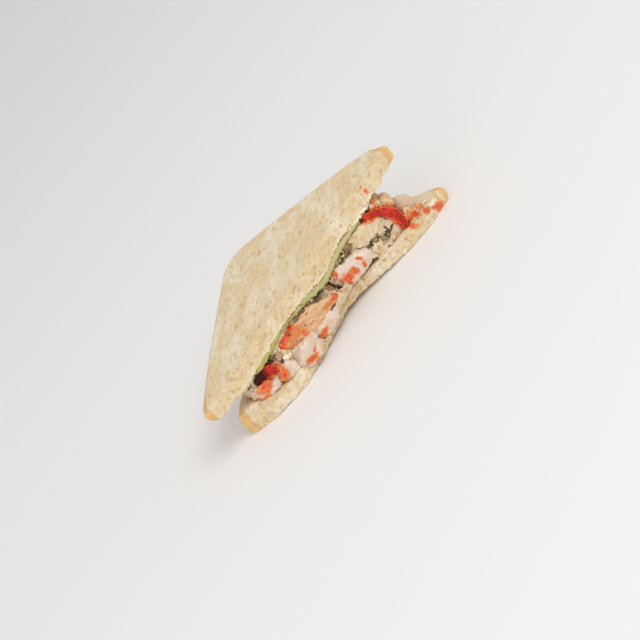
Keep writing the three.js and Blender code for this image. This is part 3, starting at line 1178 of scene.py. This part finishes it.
@dataclass(frozen=True)
class Chunk:
    """One piece of turkey. Its grain is the tilt of its fibres, in degrees; painted shade darkens the
    pieces that sit back, most of all in the crevices.
    """

    name: str
    meat: Meat
    grain: float
    sauces: Sequence[Row] = ()
    sears: Sequence[Row] = ()
    sear: float = 0.1
    skin: float = 0.6
    gloom: float = 0.0
    voxel: float = 0.45
    fibre: float = 0.12
    lump: float = 0.35
    crease: float = 0.4
    facet: float = 1.3
    swell: float = 0.2

    def build(self, material: Material, seed: int) -> Surface:
        """Makes the piece.

        Args:
            material: The finish of its kind of meat.
            seed: Its own seed.

        Returns:
            The finished surface.
        """
        noise = Noise(seed)
        surface = Surface.of_node(f"turkey_{self.name}", self.voxel)
        surface.relax(1)
        points, normals = surface.points.copy(), surface.normals
        front = ramp(0.4, 0.85, -normals[:, 1])
        along = turned(points, self.grain)
        fibres = noise.layered(along, (6.0, 5.0, 0.8), 1)
        ridges = np.abs(noise.layered(along, (9.0, 6.0, 2.6), 4))
        push = self.swell + self.lump * noise.layered(points, 4.5, 2) * (1.3 - 0.95 * front)
        push += self.fibre * fibres * (2.2 - 1.2 * front)
        push += self.facet * noise.facets(along, (9.0, 7.0, 5.0), 5) * (1.3 - 0.5 * front)
        push += self.facet * noise.facets(along, (3.6, 3.0, 2.2), 6) * (0.7 - 0.4 * front)
        push -= self.crease * ramp(0.16, 0.0, ridges) * (1.0 - 0.55 * front)
        push += noise.layered(points, 1.3, 3) * (0.35 - 0.23 * front)
        sauce = cover([*SMEARS, *self.sauces], points, noise)
        surface.push(push + 0.2 * ramp(0.4, 0.8, sauce))
        surface.relax(1, 0.35)
        sear = np.maximum(self.sear, (1.0 - front) * self.skin)
        # Painted shade: pieces that sit back are darker, and darker still in the crevices.
        gloom = self.gloom * (1.0 + 1.7 * cover(PAINTED_SHADES, points, noise))
        sear = np.maximum(sear, cover(self.sears, points, noise))
        surface.paint(sear=sear, sauce=sauce, gloom=gloom, fibre=0.5 + 0.6 * fibres)
        return surface.settle(material, "turkey", f"turkey_{self.name}")


CHUNKS = (
    Chunk(
        "tip_slab", Meat.GREY, 70,
        ((56.5, 18.5, 7, 2.4, -52, 0.75), (60.4, 8.9, 3.5, 2.2, -29, 0.8)),
        skin=0.15,
    ),
    Chunk("tip_crumb", Meat.TAN, 0, ((49.5, 28.5, 11, 8, -66, 0.42),), sear=0.8),
    Chunk("herb_crumb", Meat.CREAMY, 30, ((52.5, 21.5, 5, 2.5, -50, 0.8),), sear=0.2),
    Chunk(
        "cream_block", Meat.CREAMY, 60,
        ((43.5, 24.6, 6.5, 2.6, -33, 0.8), (38.8, 28.2, 4, 2, -20, 0.9)),
        ((31.3, 25.6, 3.4, 3.4, -33, 0.75),),
        skin=0.35,
    ),
    Chunk(
        "grey_block", Meat.GREY, 75,
        ((50.9, 13.6, 6.5, 2.6, -70, 0.85), (51.5, 18.5, 5, 3, -60, 0.9)),
        ((46.9, 9.9, 4.5, 2.2, 13, 0.6),),
    ),
    Chunk("small_block", Meat.CREAMY, 80, ((36.4, 13.2, 3.4, 1.8, 69, 0.5),)),
    Chunk("shadow_block", Meat.BROWN, 20, sear=0.3, gloom=0.35),
    Chunk(
        "pink_block", Meat.PINK, -25,
        (
            (25.3, 18.1, 3.6, 1.8, -29, 1), (25.1, 14, 4.6, 3.4, 66, 0.85),
            (19.8, 16.2, 6, 3.2, -60, 1), (15.4, 16.4, 7, 4, -26, 1.15),
            (14.8, 13.6, 3.4, 2.2, -74, 1.2), (11.9, 21.9, 4.4, 2.2, 75, 0.9),
        ),
        skin=0.3,
    ),
    Chunk("dark_block", Meat.BROWN, 20, ((8, 19.7, 2.6, 1.8, -55, 0.8),), sear=0.4, gloom=0.4),
    Chunk(
        "long_block", Meat.TAN, -25,
        (
            (3.8, 15.4, 6.2, 2.4, -24, 1.1), (-1, 15.6, 8, 3.2, -10, 0.6),
            (-24.5, 22.8, 13, 3.4, 8, 1.5), (-29.5, 20.4, 5, 3.4, 60, 1.4),
            (-18.2, 16.9, 6, 3.2, -75, 0.8), (-27.5, 17, 8, 3, -31, 0.75),
            (-22, 19.6, 16, 10, -15, 0.5),
        ),
        sear=0.15,
    ),
    Chunk(
        "pale_block", Meat.PINK, -35,
        ((-11.4, 9.2, 5.6, 2.2, 8, 1.1), (-12.2, 8, 5, 3.6, 3, 0.6)),
        skin=0.3,
    ),
    Chunk(
        "spot_block", Meat.PINK, 45,
        (
            (-24.8, 6.8, 6.6, 2.8, -4, 1.2), (-20.9, 9.2, 3.4, 1.4, 20, 1),
            (-23.2, 3.6, 4.4, 3.8, -14, 0.6),
        ),
        ((-17.5, 6, 14, 5, 65, 0.6),),
        skin=0.35,
    ),
    Chunk("amber_block", Meat.BROWN, 10, sear=0.3),
    Chunk("white_block", Meat.PINK, 55, ((-38.4, 12.4, 9.4, 4, 67, 0.95),), skin=0.3),
    Chunk(
        "heel_block", Meat.PINK, -25,
        (
            (-50, 14.6, 7.5, 6, -25, 0.8), (-52, 11, 4.4, 3.4, -43, 0.8),
            (-56, 13, 6, 4.4, -25, 0.55),
        ),
        skin=0.3,
    ),
)


@dataclass
class Turkey:
    """All the turkey that shows at the cut."""

    chunks: Sequence[Chunk] = CHUNKS
    first_seed: int = 100

    def build(self) -> list[Surface]:
        """Makes and dresses every piece.

        Returns:
            The finished surfaces.
        """
        finishes = {}
        for meat in Meat:
            finish = MeatFinish(f"turkey_{meat.name.lower()}", *map(shade, meat.value))
            finishes[meat] = finish.build()
        numbered = enumerate(self.chunks, self.first_seed)
        return [chunk.build(finishes[chunk.meat], seed) for seed, chunk in numbered]


# ---- sauce and small turkey ----


@dataclass(frozen=True)
class Streak:
    """A line of lumps over the front: its corners, the width at each, and how many lumps.

    A lump is rise times as thick as it is wide, its radius is from least to most of the width,
    and it spans any gap that is deeper than sag.
    """

    corners: Sequence[Row]
    widths: Row
    count: int
    rise: float = 0.5
    sag: float = 1.2
    least: float = 0.12
    most: float = 0.3

    def off_centre(self, points: Array) -> Array:
        """Finds how far each point lies from the line.

        Args:
            points: Places in millimetres.

        Returns:
            The distances, in parts of the line's half width.
        """
        nearest = np.full(len(points), FAR)
        flat = points[:, (0, 2)]
        for k in range(len(self.corners) - 1):
            start, way = np.array(self.corners[k]), np.subtract(self.corners[k + 1], self.corners[k])
            t = np.clip((flat - start) @ way / (way @ way), 0.0, 1.0)
            width = self.widths[k] + (self.widths[k + 1] - self.widths[k]) * t
            gap = np.linalg.norm(flat - start - t[:, None] * way, axis=1)
            nearest = np.minimum(nearest, gap / (width / 2))
        return nearest

    def lumps(self, strewn: Strewn) -> Iterator[Lump]:
        """Scatters flat lumps along the line, each on whatever lies behind it.

        Args:
            strewn: What the lumps belong to, whose targets they lie on.

        Yields:
            The lumps.
        """
        spans, rng = len(self.corners) - 1, strewn.rng
        for i in range(self.count):
            at = spans * (i + rng.random()) / self.count
            k = min(int(at), spans - 1)
            t = at - k
            (x0, z0), (x1, z1) = self.corners[k], self.corners[k + 1]
            width = self.widths[k] + (self.widths[k + 1] - self.widths[k]) * t
            radius = width * rng.uniform(self.least, self.most)
            away = (width / 2 - radius) * rng.uniform(-1.25, 1.25)
            angle = math.atan2(z1 - z0, x1 - x0) + math.pi / 2
            x = x0 + (x1 - x0) * t + away * math.cos(angle)
            z = z0 + (z1 - z0) * t + away * math.sin(angle)
            hit = strewn.front(x, z)
            if hit is None or hit[0].y > CUT_Y + self.sag:
                hit = (Vector((x, CUT_Y + self.sag, z)), Vector((0, -1, 0)))
            yield Lump(hit[0] + hit[1] * radius * 0.04, radius, self.rise, hit[1])


@dataclass(frozen=True)
class Pinch:
    """A pinch of small things on the cut: where, how widely spread, how many and how long.

    A tucked pinch stays between the pieces, behind their cut faces.
    """

    x: float
    z: float
    wide: float
    high: float
    count: int
    length: float = 2.0
    tone: float = 0.4
    tucked: bool = True
    deepest: float = 9.0

    def places(self, strewn: Strewn) -> Iterator[Hit]:
        """Finds where each thing lands, and which way the surface faces there.

        Args:
            strewn: What the things belong to, whose targets they land on.

        Yields:
            The places in millimetres and the directions.
        """
        for _ in range(self.count):
            x = self.x + strewn.rng.gauss(0, self.wide / 2.4)
            z = self.z + strewn.rng.gauss(0, self.high / 2.4)
            hit = strewn.front(x, z)
            if hit is None or hit[0].y > CUT_Y + self.deepest:
                continue
            if not self.tucked or hit[0].y > CUT_Y + 0.5 or hit[1].y > -0.75:
                yield hit


@dataclass
class Strewn:
    """Something that lies on the surfaces that show at the cut, which are its targets."""

    targets: Sequence[Surface]
    seed: int = 0
    pinches: Sequence[Row] = ()

    def __post_init__(self) -> None:
        """Starts the random source."""
        self.rng = random.Random(self.seed)

    def front(self, x: float, z: float) -> Hit | None:
        """Finds what is first met on the way in from the cut side.

        Args:
            x: The place along the cut.
            z: Its height.

        Returns:
            The point in millimetres and the surface's normal, or None.
        """
        best = None
        start = Vector((x * MM, -RAY, z * MM))
        for target in self.targets:
            found, place, normal, _ = target.piece.ray_cast(start, Vector((0, 1, 0)), distance=RAY)
            if found and (best is None or place.y < best[0].y):
                best = (place, normal)
        return None if best is None else (best[0] / MM, best[1])

    def landed(self) -> Iterator[tuple[Pinch, Hit]]:
        """Drops every pinch from in front.

        Yields:
            Each thing's pinch, and where it lands.
        """
        for pinch in (Pinch(*row) for row in self.pinches):
            for hit in pinch.places(self):
                yield pinch, hit


BAND_LINE = (
    (38.3, 28.8), (41.7, 28), (46.1, 25.7), (50, 22.3), (53, 17.7), (54, 12.4), (52.8, 8.2),
)
SPATTER_LINE = ((39, 28.6), (46.5, 25.6), (51.5, 22), (54, 17), (54.8, 11), (54.4, 7))
SPILL_LINE = ((-50.5, 18.6), (-46, 19.8), (-41.8, 18.4), (-39.6, 14.5))


@dataclass
class Sauce(Strewn):
    """The smeared band and the dollop of thick red sauce."""

    seed: int = 12
    band: Streak = Streak(BAND_LINE, (2.8, 3.6, 4.0, 5.2, 5.4, 4.6, 3.0), 260, 0.6, 0.4)
    spatter: Streak = Streak(SPATTER_LINE, (5.0, 6.4, 8.0, 8.4, 8.0, 5.0), 150, 0.6, 1.0, 0.03, 0.075)
    spill: Streak = Streak(SPILL_LINE, (3.0, 6.0, 6.2, 3.0), 170, 0.7, 0.6)
    voxel: float = 0.28

    def build(self) -> list[Surface]:
        """Makes and dresses the band, the dollop and what is spilt beside it.

        Returns:
            The finished surfaces.
        """
        material = SauceFinish().build()
        lumps = [*self.band.lumps(self), *self.spatter.lumps(self)]
        band = Surface.of_lumps("sauce_band_fine", lumps, self.voxel)
        dollop = Surface.of_node("sauce_dollop", self.voxel)
        dollop.relax(8)
        dollop.store()
        self.targets = [*self.targets, dollop]
        spilt = Surface.of_lumps("sauce_spill", self.spill.lumps(self), self.voxel)
        nodes = (["sauce_band"], ["sauce_dollop"], [])
        made = [band, dollop, spilt]
        for surface, seed, replaced in zip(made, (51, 52, 53), nodes):
            self.dress(surface, Noise(seed))
            surface.settle(material, "red_sauce", *replaced)
        return made

    def dress(self, surface: Surface, noise: Noise) -> None:
        """Makes one piece pulpy, and paints where it is darker (the dollop's upper left, patches, and
        painted shadow at the band's start) and where it thins out.

        Args:
            surface: The piece.
            noise: Its random fields.
        """
        surface.relax(2)
        points = surface.points.copy()
        surface.push(0.4 * noise.layered(points, 1.7, 1) + 0.2 * noise.layered(points, 0.7, 2))
        surface.relax(1)
        wavy = 2.5 * noise.layered(points, 3.0, 6)
        # Darker towards the dollop's upper left.
        left = ramp(-39.5, -48.0, points[:, 0] + wavy) * ramp(12.5, 19.0, points[:, 2] + wavy)
        # Painted shadow at the band's start, next to the upper slice's edge.
        start = ramp(41.8, 39.2, points[:, 0]) * ramp(25.0, 27.0, points[:, 2])
        off = np.minimum(self.band.off_centre(points), self.spill.off_centre(points))
        patchy = ramp(-0.1, 0.4, noise.waves(points, 3.2, 5)) * ramp(0.9, 0.3, off)
        depth = np.maximum.reduce([left, 0.7 * start, 0.3 * patchy])
        surface.paint(depth=depth, thin=ramp(0.55, 1.15, off) * (1.0 - left))


CRUMBLED = (
    Streak(
        ((56.5, 12.5), (60.5, 9.6), (64.5, 7.6), (69.5, 6.2)),
        (6.5, 6.5, 5.4, 3.4), 260, 0.8, 1, 0.06, 0.2,
    ),
    Streak(
        ((14.5, 12), (10.5, 12.6), (6, 11.6), (2.5, 10)),
        (2.6, 5, 5, 3), 150, 1, 1.6, 0.1, 0.25,
    ),
)
MINCE_STAINS = (
    (60.2, 9.2, 4, 3, -29, 1.15), (64.6, 6.8, 4, 2.8, -25, 1.15), (56.5, 9.5, 6, 8, -50, 0.95),
    (70.2, 4.4, 6, 4, -25, 1), (62.5, 11, 12, 4, -30, 0.5), (9.8, 24.6, 5, 2, -12, 0.8),
    (7.6, 22, 6, 3.2, -20, 1), (8, 19, 3.4, 2.4, -58, 0.9), (52, 20, 12, 6, -52, 0.9),
    (-43, 18.5, 10, 7, -11, 1), (-34, 15.5, 11, 2.2, -51, 0.7), *SMEARS,
)


@dataclass
class Mince(Strewn):
    """Small torn turkey: what fills the crevices at the cut, and what has crumbled at the tip.

    The cut is looked at in squares of one step, and a square is near if something lies less than
    near behind it.
    """

    seed: int = 41
    step: float = 0.7
    near: float = 1.2
    bridge: int = 3
    lowest: float = 1.4
    voxel: float = 0.28

    def crevices(self) -> Iterator[Lump]:
        """Fills every place on the cut that has something close by on opposite sides.

        Yields:
            The lumps.
        """
        meat = self.seen(t for t in self.targets if t.name.startswith("turkey"))
        front = self.seen(self.targets)
        close = self.widened(self.widened(front, self.bridge), self.bridge, np.logical_and)
        beside = self.widened(meat, self.bridge)
        border = front & self.widened(~front, 1)
        for i, k in np.argwhere(close & beside & (border | ~front)):
            if k * self.step < self.lowest:
                continue
            for layer in (2.2, 3.2) if border[i, k] else (1.2, 2.5):
                middle = (CUT_LEFT + (i + 0.5) * self.step, CUT_Y + layer, (k + 0.5) * self.step)
                place = [self.rng.gauss(at, 0.3) for at in middle]
                yield Lump(place, self.rng.uniform(0.45, 0.95), self.rng.uniform(0.6, 1.0))

    def seen(self, targets: Iterable[Surface]) -> Array:
        """Finds which squares of the cut are near.

        Args:
            targets: The surfaces that count.

        Returns:
            Whether each square is near, by x and z.
        """
        depth = np.full((int(CUT_LENGTH / self.step), int(CUT_HEIGHT / self.step)), FAR)
        for target in targets:
            places = target.points[:, (0, 2)] - (CUT_LEFT, 0.0)
            bins = np.floor(places / self.step).astype(int)
            good = np.all((bins >= 0) & (bins < depth.shape), axis=1)
            np.minimum.at(depth, tuple(bins[good].T), target.points[good, 1] - CUT_Y)
        return depth < self.near

    @staticmethod
    def widened(squares: Array, steps: int, combine: np.ufunc = np.logical_or) -> Array:
        """Grows a field of squares, or shrinks it if combine is logical_and.

        Args:
            squares: Which squares are set.
            steps: By how many squares.
            combine: How a square and its neighbours are taken together.

        Returns:
            The new field.
        """
        for _ in range(steps):
            beside = [np.roll(squares, way, axis) for axis in (0, 1) for way in (-1, 1)]
            squares = combine.reduce([squares, *beside])
        return squares

    def build(self) -> Surface:
        """Makes and dresses it.

        Returns:
            The finished surface.
        """
        noise = Noise(88)
        lumps = list(self.crevices())
        for streak in CRUMBLED:
            lumps.extend(streak.lumps(self))
        surface = Surface.of_lumps("turkey_mince", lumps, self.voxel)
        surface.relax(4)
        points = surface.points.copy()
        surface.push(0.3 * noise.layered(points, 1.2, 1))
        tip = ramp(52.0, 56.0, points[:, 0])
        surface.paint(
            sear=(1.0 - tip) * (0.35 + 0.4 * noise.waves(points, 2.5, 2)),
            sauce=cover(MINCE_STAINS, points, noise),
            # Painted shade in the crevices.
            gloom=cover(PAINTED_SHADES, points, noise),
            fibre=0.5 + 0.5 * noise.layered(points, 1.0, 3),
        )
        return surface.settle(bpy.data.materials["turkey_creamy"], "turkey")


DABS = (
    Streak(((-33.4, 16), (-31.5, 15.4), (-29, 14.6)), (2, 3.4, 2), 30, 0.9, 0.6, 0.2, 0.4),
    Streak(((-16.2, 7), (-15.8, 3.8)), (1.6, 2.2), 14, 0.6),
    Streak(((44.8, 20.2), (46.2, 18.6), (47.2, 16.4)), (1.2, 1.8, 1), 18, 0.5),
    Streak(((29.5, 21), (32.2, 18.9)), (1.6, 1.8), 12, 0.6),
    Streak(((66.8, 8), (70, 7), (72.4, 5.6)), (2.8, 3.4, 2), 46, 0.8, 1.2, 0.1, 0.22),
)


@dataclass
class Dabs(Strewn):
    """Dabs of cream that stick to the turkey."""

    seed: int = 33
    streaks: Sequence[Streak] = DABS
    voxel: float = 0.26

    def build(self, material: Material) -> Surface:
        """Makes and dresses the dabs.

        Args:
            material: The cream's finish.

        Returns:
            The finished surface.
        """
        lumps = [lump for streak in self.streaks for lump in streak.lumps(self)]
        surface = Surface.of_lumps("cream_dabs", lumps, self.voxel)
        surface.relax(1)
        surface.push(0.3 * Noise(61).layered(surface.points, 1.1, 1))
        return surface.settle(material, "cream")


# ---- herbs, shreds and crumbs ----


HERB_PINCHES = (
    (24.9, 23.5, 4.6, 2.2, 9, 2.4, 0.95), (20.6, 23.9, 5.4, 2.4, 14, 2.8, 0.45),
    (22.5, 24.8, 3, 1.4, 4, 2.4, 0.6), (34.3, 17.6, 3.2, 2, 8, 2.6, 0.2),
    (39.4, 16.6, 2.6, 2.4, 10, 2.4, 0.7, False), (43.6, 13.4, 4.6, 1.6, 12, 2.8, 0.5, False),
    (45.5, 15, 1.6, 2.2, 5, 2.4, 0.1, False), (-2.4, 22.2, 8, 2.2, 9, 3, 0.4),
    (-12, 24.4, 5.6, 1.2, 5, 3.6, 0.3), (8.2, 14.9, 2.6, 1.4, 5, 1.2, 0.7),
    (-34.4, 15.8, 4, 1.4, 7, 2.2, 0.2), (-36.4, 19.8, 4, 1, 6, 3.2, 0.2),
    (-15.8, 5.6, 2.2, 2.4, 6, 1, 0.7, False), (-23.8, 21.6, 1, 1.2, 3, 1.6, 0.2, False),
    (-17, 18.5, 18, 7, 10, 0.9, 0.3, False), (54.2, 23.3, 4, 2, 5, 1, 0.5, False),
    (58, 9, 8, 2, 4, 0.9, 0.5, False),
)
SHRED_PINCHES = (
    (4.5, 20.5, 9, 4, 30, 1.6), (-1, 23.5, 8, 2, 16, 1.6), (20, 24.5, 8, 2, 14, 1.4),
    (32, 19, 4, 3, 12, 1.3), (40.5, 12, 3, 4, 10, 1.2), (56, 12, 5, 6, 18, 1.3),
    (52.5, 24.5, 4, 3, 10, 1.2), (10, 13, 3, 5, 14, 1.4), (-15, 12, 3, 3, 8, 1.2),
    (-30.5, 13, 3, 6, 14, 1.3), (-36, 18, 5, 3, 14, 1.3), (-42, 12, 2.5, 5, 12, 1.2),
    (-52, 18.5, 5, 1.5, 12, 1.6),
)


@dataclass
class Herbs(Strewn):
    """Herb leaves stuck to whatever shows at the cut."""

    seed: int = 77
    pinches: Sequence[Row] = HERB_PINCHES
    steps: int = 5
    thick: float = 0.12

    def build(self) -> Surface:
        """Drops every leaf onto the targets and joins them.

        Returns:
            The joined piece.
        """
        heap = Heap()
        for pinch, hit in self.landed():
            points, faces = self.leaf(hit, pinch.length * self.rng.uniform(0.5, 1.2))
            heap.add(points, faces, pinch.tone + self.rng.gauss(0, 0.18))
        return heap.build("herb_flakes", HerbFinish().build(), "turkey")

    def leaf(self, hit: Hit, length: float) -> tuple[Array, Array]:
        """Shapes one curled leaf, a few faces long, with a little thickness.

        Args:
            hit: Where it lies and which way that surface faces.
            length: Its length.

        Returns:
            Its corners in millimetres and its faces.
        """
        (place, normal), rng = hit, self.rng
        up = normal.lerp(Vector((rng.uniform(-1, 1), -1, rng.uniform(-1, 1))), 0.35).normalized()
        along = up.orthogonal().normalized()
        along.rotate(Matrix.Rotation(rng.uniform(0, math.tau), 3, up))
        across = up.cross(along)
        width, curl = length * rng.uniform(0.35, 0.7), rng.uniform(-0.5, 0.7)
        corners, last = [], 4 * self.steps
        for i in range(self.steps + 1):
            t = i / self.steps
            wide = width * math.sin(math.pi * (0.08 + 0.84 * t)) * rng.uniform(0.8, 1.1)
            lift = 0.1 + curl * length * 0.3 * (t - 0.5) ** 2 * 4
            middle = place + along * (t - 0.5) * length + up * lift
            for side, height in ((-1, 0.0), (0, self.thick), (1, 0.0), (0, -self.thick)):
                corners.append(middle + across * side * wide / 2 + up * height)
        ahead = [i + 1 if i % 4 < 3 else i - 3 for i in range(last)]
        faces = [(i, i + 4, n + 4, n) for i, n in enumerate(ahead)]
        faces += [(0, 1, 2, 3), (last + 3, last + 2, last + 1, last)]
        return np.array(corners), np.array(faces)


@dataclass
class Shreds(Strewn):
    """Torn bits of turkey that fill the gaps between the larger pieces."""

    seed: int = 9
    pinches: Sequence[Row] = SHRED_PINCHES

    def build(self) -> Surface:
        """Tucks every shred in between the pieces.

        Returns:
            The joined piece.
        """
        heap = Heap()
        for pinch, hit in self.landed():
            heap.add_bit(self.rng, hit, pinch.length * self.rng.uniform(0.35, 0.75), 0.5)
        return heap.build("turkey_shreds", bpy.data.materials["turkey_grey"], "turkey")


@dataclass
class Crumbs:
    """Bread crumbs and torn tags along the cut edges of the slices."""

    count: int = 500
    least: float = 0.18
    most: float = 0.55
    within: float = 66.0
    tag_voxel: float = 0.26

    def hang(self, above: Surface, material: Material, slot: str, count: int) -> Surface:
        """Hangs torn tags over the lower edge of a layer's cut.

        Args:
            above: The layer.
            material: Its finish.
            slot: Its material slot.
            count: How many tags for each millimetre along the cut.

        Returns:
            The finished surface.
        """
        rng = random.Random(6)
        points = above.points[(above.points[:, 1] < CUT_Y + 3.8) & (above.normals[:, 1] < -0.4)]
        bins = np.round(points[:, 0]).astype(int)
        lumps = []
        for x in COLUMNS:
            column = points[bins == x]
            for _ in range(count if len(column) else 0):
                away = (rng.gauss(0, 0.5), rng.uniform(-0.3, 0.5), rng.gauss(-0.2, 0.35))
                lumps.append(Lump(column[column[:, 2].argmin()] + away, rng.uniform(0.3, 0.75)))
        surface = Surface.of_lumps(f"{above.name}_tags", lumps, self.tag_voxel)
        surface.push(0.3 * Noise(4).layered(surface.points, 1.1, 1))
        surface.relax(1)
        return surface.settle(material, slot)

    def build(self, slices: Sequence[Surface], material: Material) -> Surface:
        """Sets crumbs on the torn edges.

        Args:
            slices: The two slices' surfaces.
            material: The bread's finish.

        Returns:
            The joined piece.
        """
        rng = random.Random(5)
        heap = Heap()
        for surface in slices:
            normals = surface.normals
            x, z = surface.points[:, 0], surface.points[:, 2]
            places = np.flatnonzero((normals[:, 1] < -0.3) & (z > 0.6) & (np.abs(x) < self.within))
            for _ in range(self.count):
                index = rng.choice(places)
                size = self.least + (self.most - self.least) * rng.random() ** 2
                hit = Vector(surface.points[index]), Vector(normals[index])
                heap.add_bit(rng, hit, size, 0.7)
        return heap.build("bread_crumbs", material, "bread")


# ---- stage ----


@dataclass
class Stage:
    """The floor, the light and the camera. Lamps have a name, place in metres, size and power."""

    elevation: float = 25.118
    azimuth: float = -13.466
    roll: float = -46.145
    distance: float = 791.0
    target: Row = (-1.84, -0.06, 0.40)
    lens: float = 92.8125
    floor_size: float = 30.0
    sky: float = 0.62
    lamps: Sequence[tuple[str, Row, float, float]] = (
        ("key", (0.55, -1.2, 1.35), 1.2, 13.2),
        ("fill", (-1.2, -1.2, 0.7), 1.6, 6.0),
    )

    def floor(self) -> None:
        """Lays a plain pale floor."""
        bpy.ops.mesh.primitive_plane_add(size=self.floor_size, location=(0, 0, 0))
        plane = bpy.context.object
        plane.name = "floor"
        finish = Tree("pale_floor").finish({"Base Color": shade("f6f5f4"), "Roughness": 0.8})
        plane.data.materials.append(finish)

    def camera(self) -> None:
        """Sets the camera."""
        data = bpy.data.cameras.new("camera")
        data.lens = self.lens
        data.sensor_width = 36.0
        data.clip_start = 0.05
        eye = linked("camera", data)
        angles = ((self.azimuth, "Z"), (90 - self.elevation, "X"), (self.roll, "Z"))
        first, second, third = (Matrix.Rotation(math.radians(a), 4, axis) for a, axis in angles)
        turn = first @ second @ third
        back = turn @ Vector((0, 0, self.distance * MM))
        eye.matrix_world = Matrix.Translation(Vector(self.target) * MM + back) @ turn
        bpy.context.scene.camera = eye

    def light(self) -> None:
        """Sets soft studio light, with every lamp facing the sandwich."""
        world = bpy.data.worlds.new("studio")
        world.use_nodes = True
        sky = world.node_tree.nodes["Background"].inputs
        sky["Color"].default_value = shade("fdfcfb")
        sky["Strength"].default_value = self.sky
        bpy.context.scene.world = world
        for name, place, size, watts in self.lamps:
            data = bpy.data.lights.new(name, "AREA")
            data.shape = "DISK"
            data.size = size
            data.energy = watts
            lamp = linked(name, data)
            lamp.location = place
            lamp.rotation_euler = (-Vector(place)).to_track_quat("-Z", "Y").to_euler()
        bpy.context.scene.view_settings.view_transform = "Standard"

    def build(self) -> None:
        """Sets everything that isn't the sandwich."""
        self.floor()
        self.camera()
        self.light()
        LOG.info("stage set")


def main() -> None:
    """Builds every sub-assembly in order."""
    Stage().build()
    cream = CreamFinish().build()
    slices = Bread().build()
    toast = bpy.data.materials["toast_bread"]
    layers = [Spread().build(cream), Leaf().build()]
    chunks = Turkey().build()
    sauces = Sauce([*chunks, *slices, layers[1]]).build()
    found = [*slices, *layers, *chunks, *sauces]
    found.append(Mince(found).build())
    Dabs(found).build(cream)
    Shreds(found).build()
    Herbs(found).build()
    Crumbs().build(slices, toast)
    Crumbs().hang(slices[1], toast, "bread", 9)
    Crumbs().hang(layers[0], cream, "cream", 8)


if __name__ == "__main__":
    logging.basicConfig(level=logging.INFO, format="%(message)s")
    main()
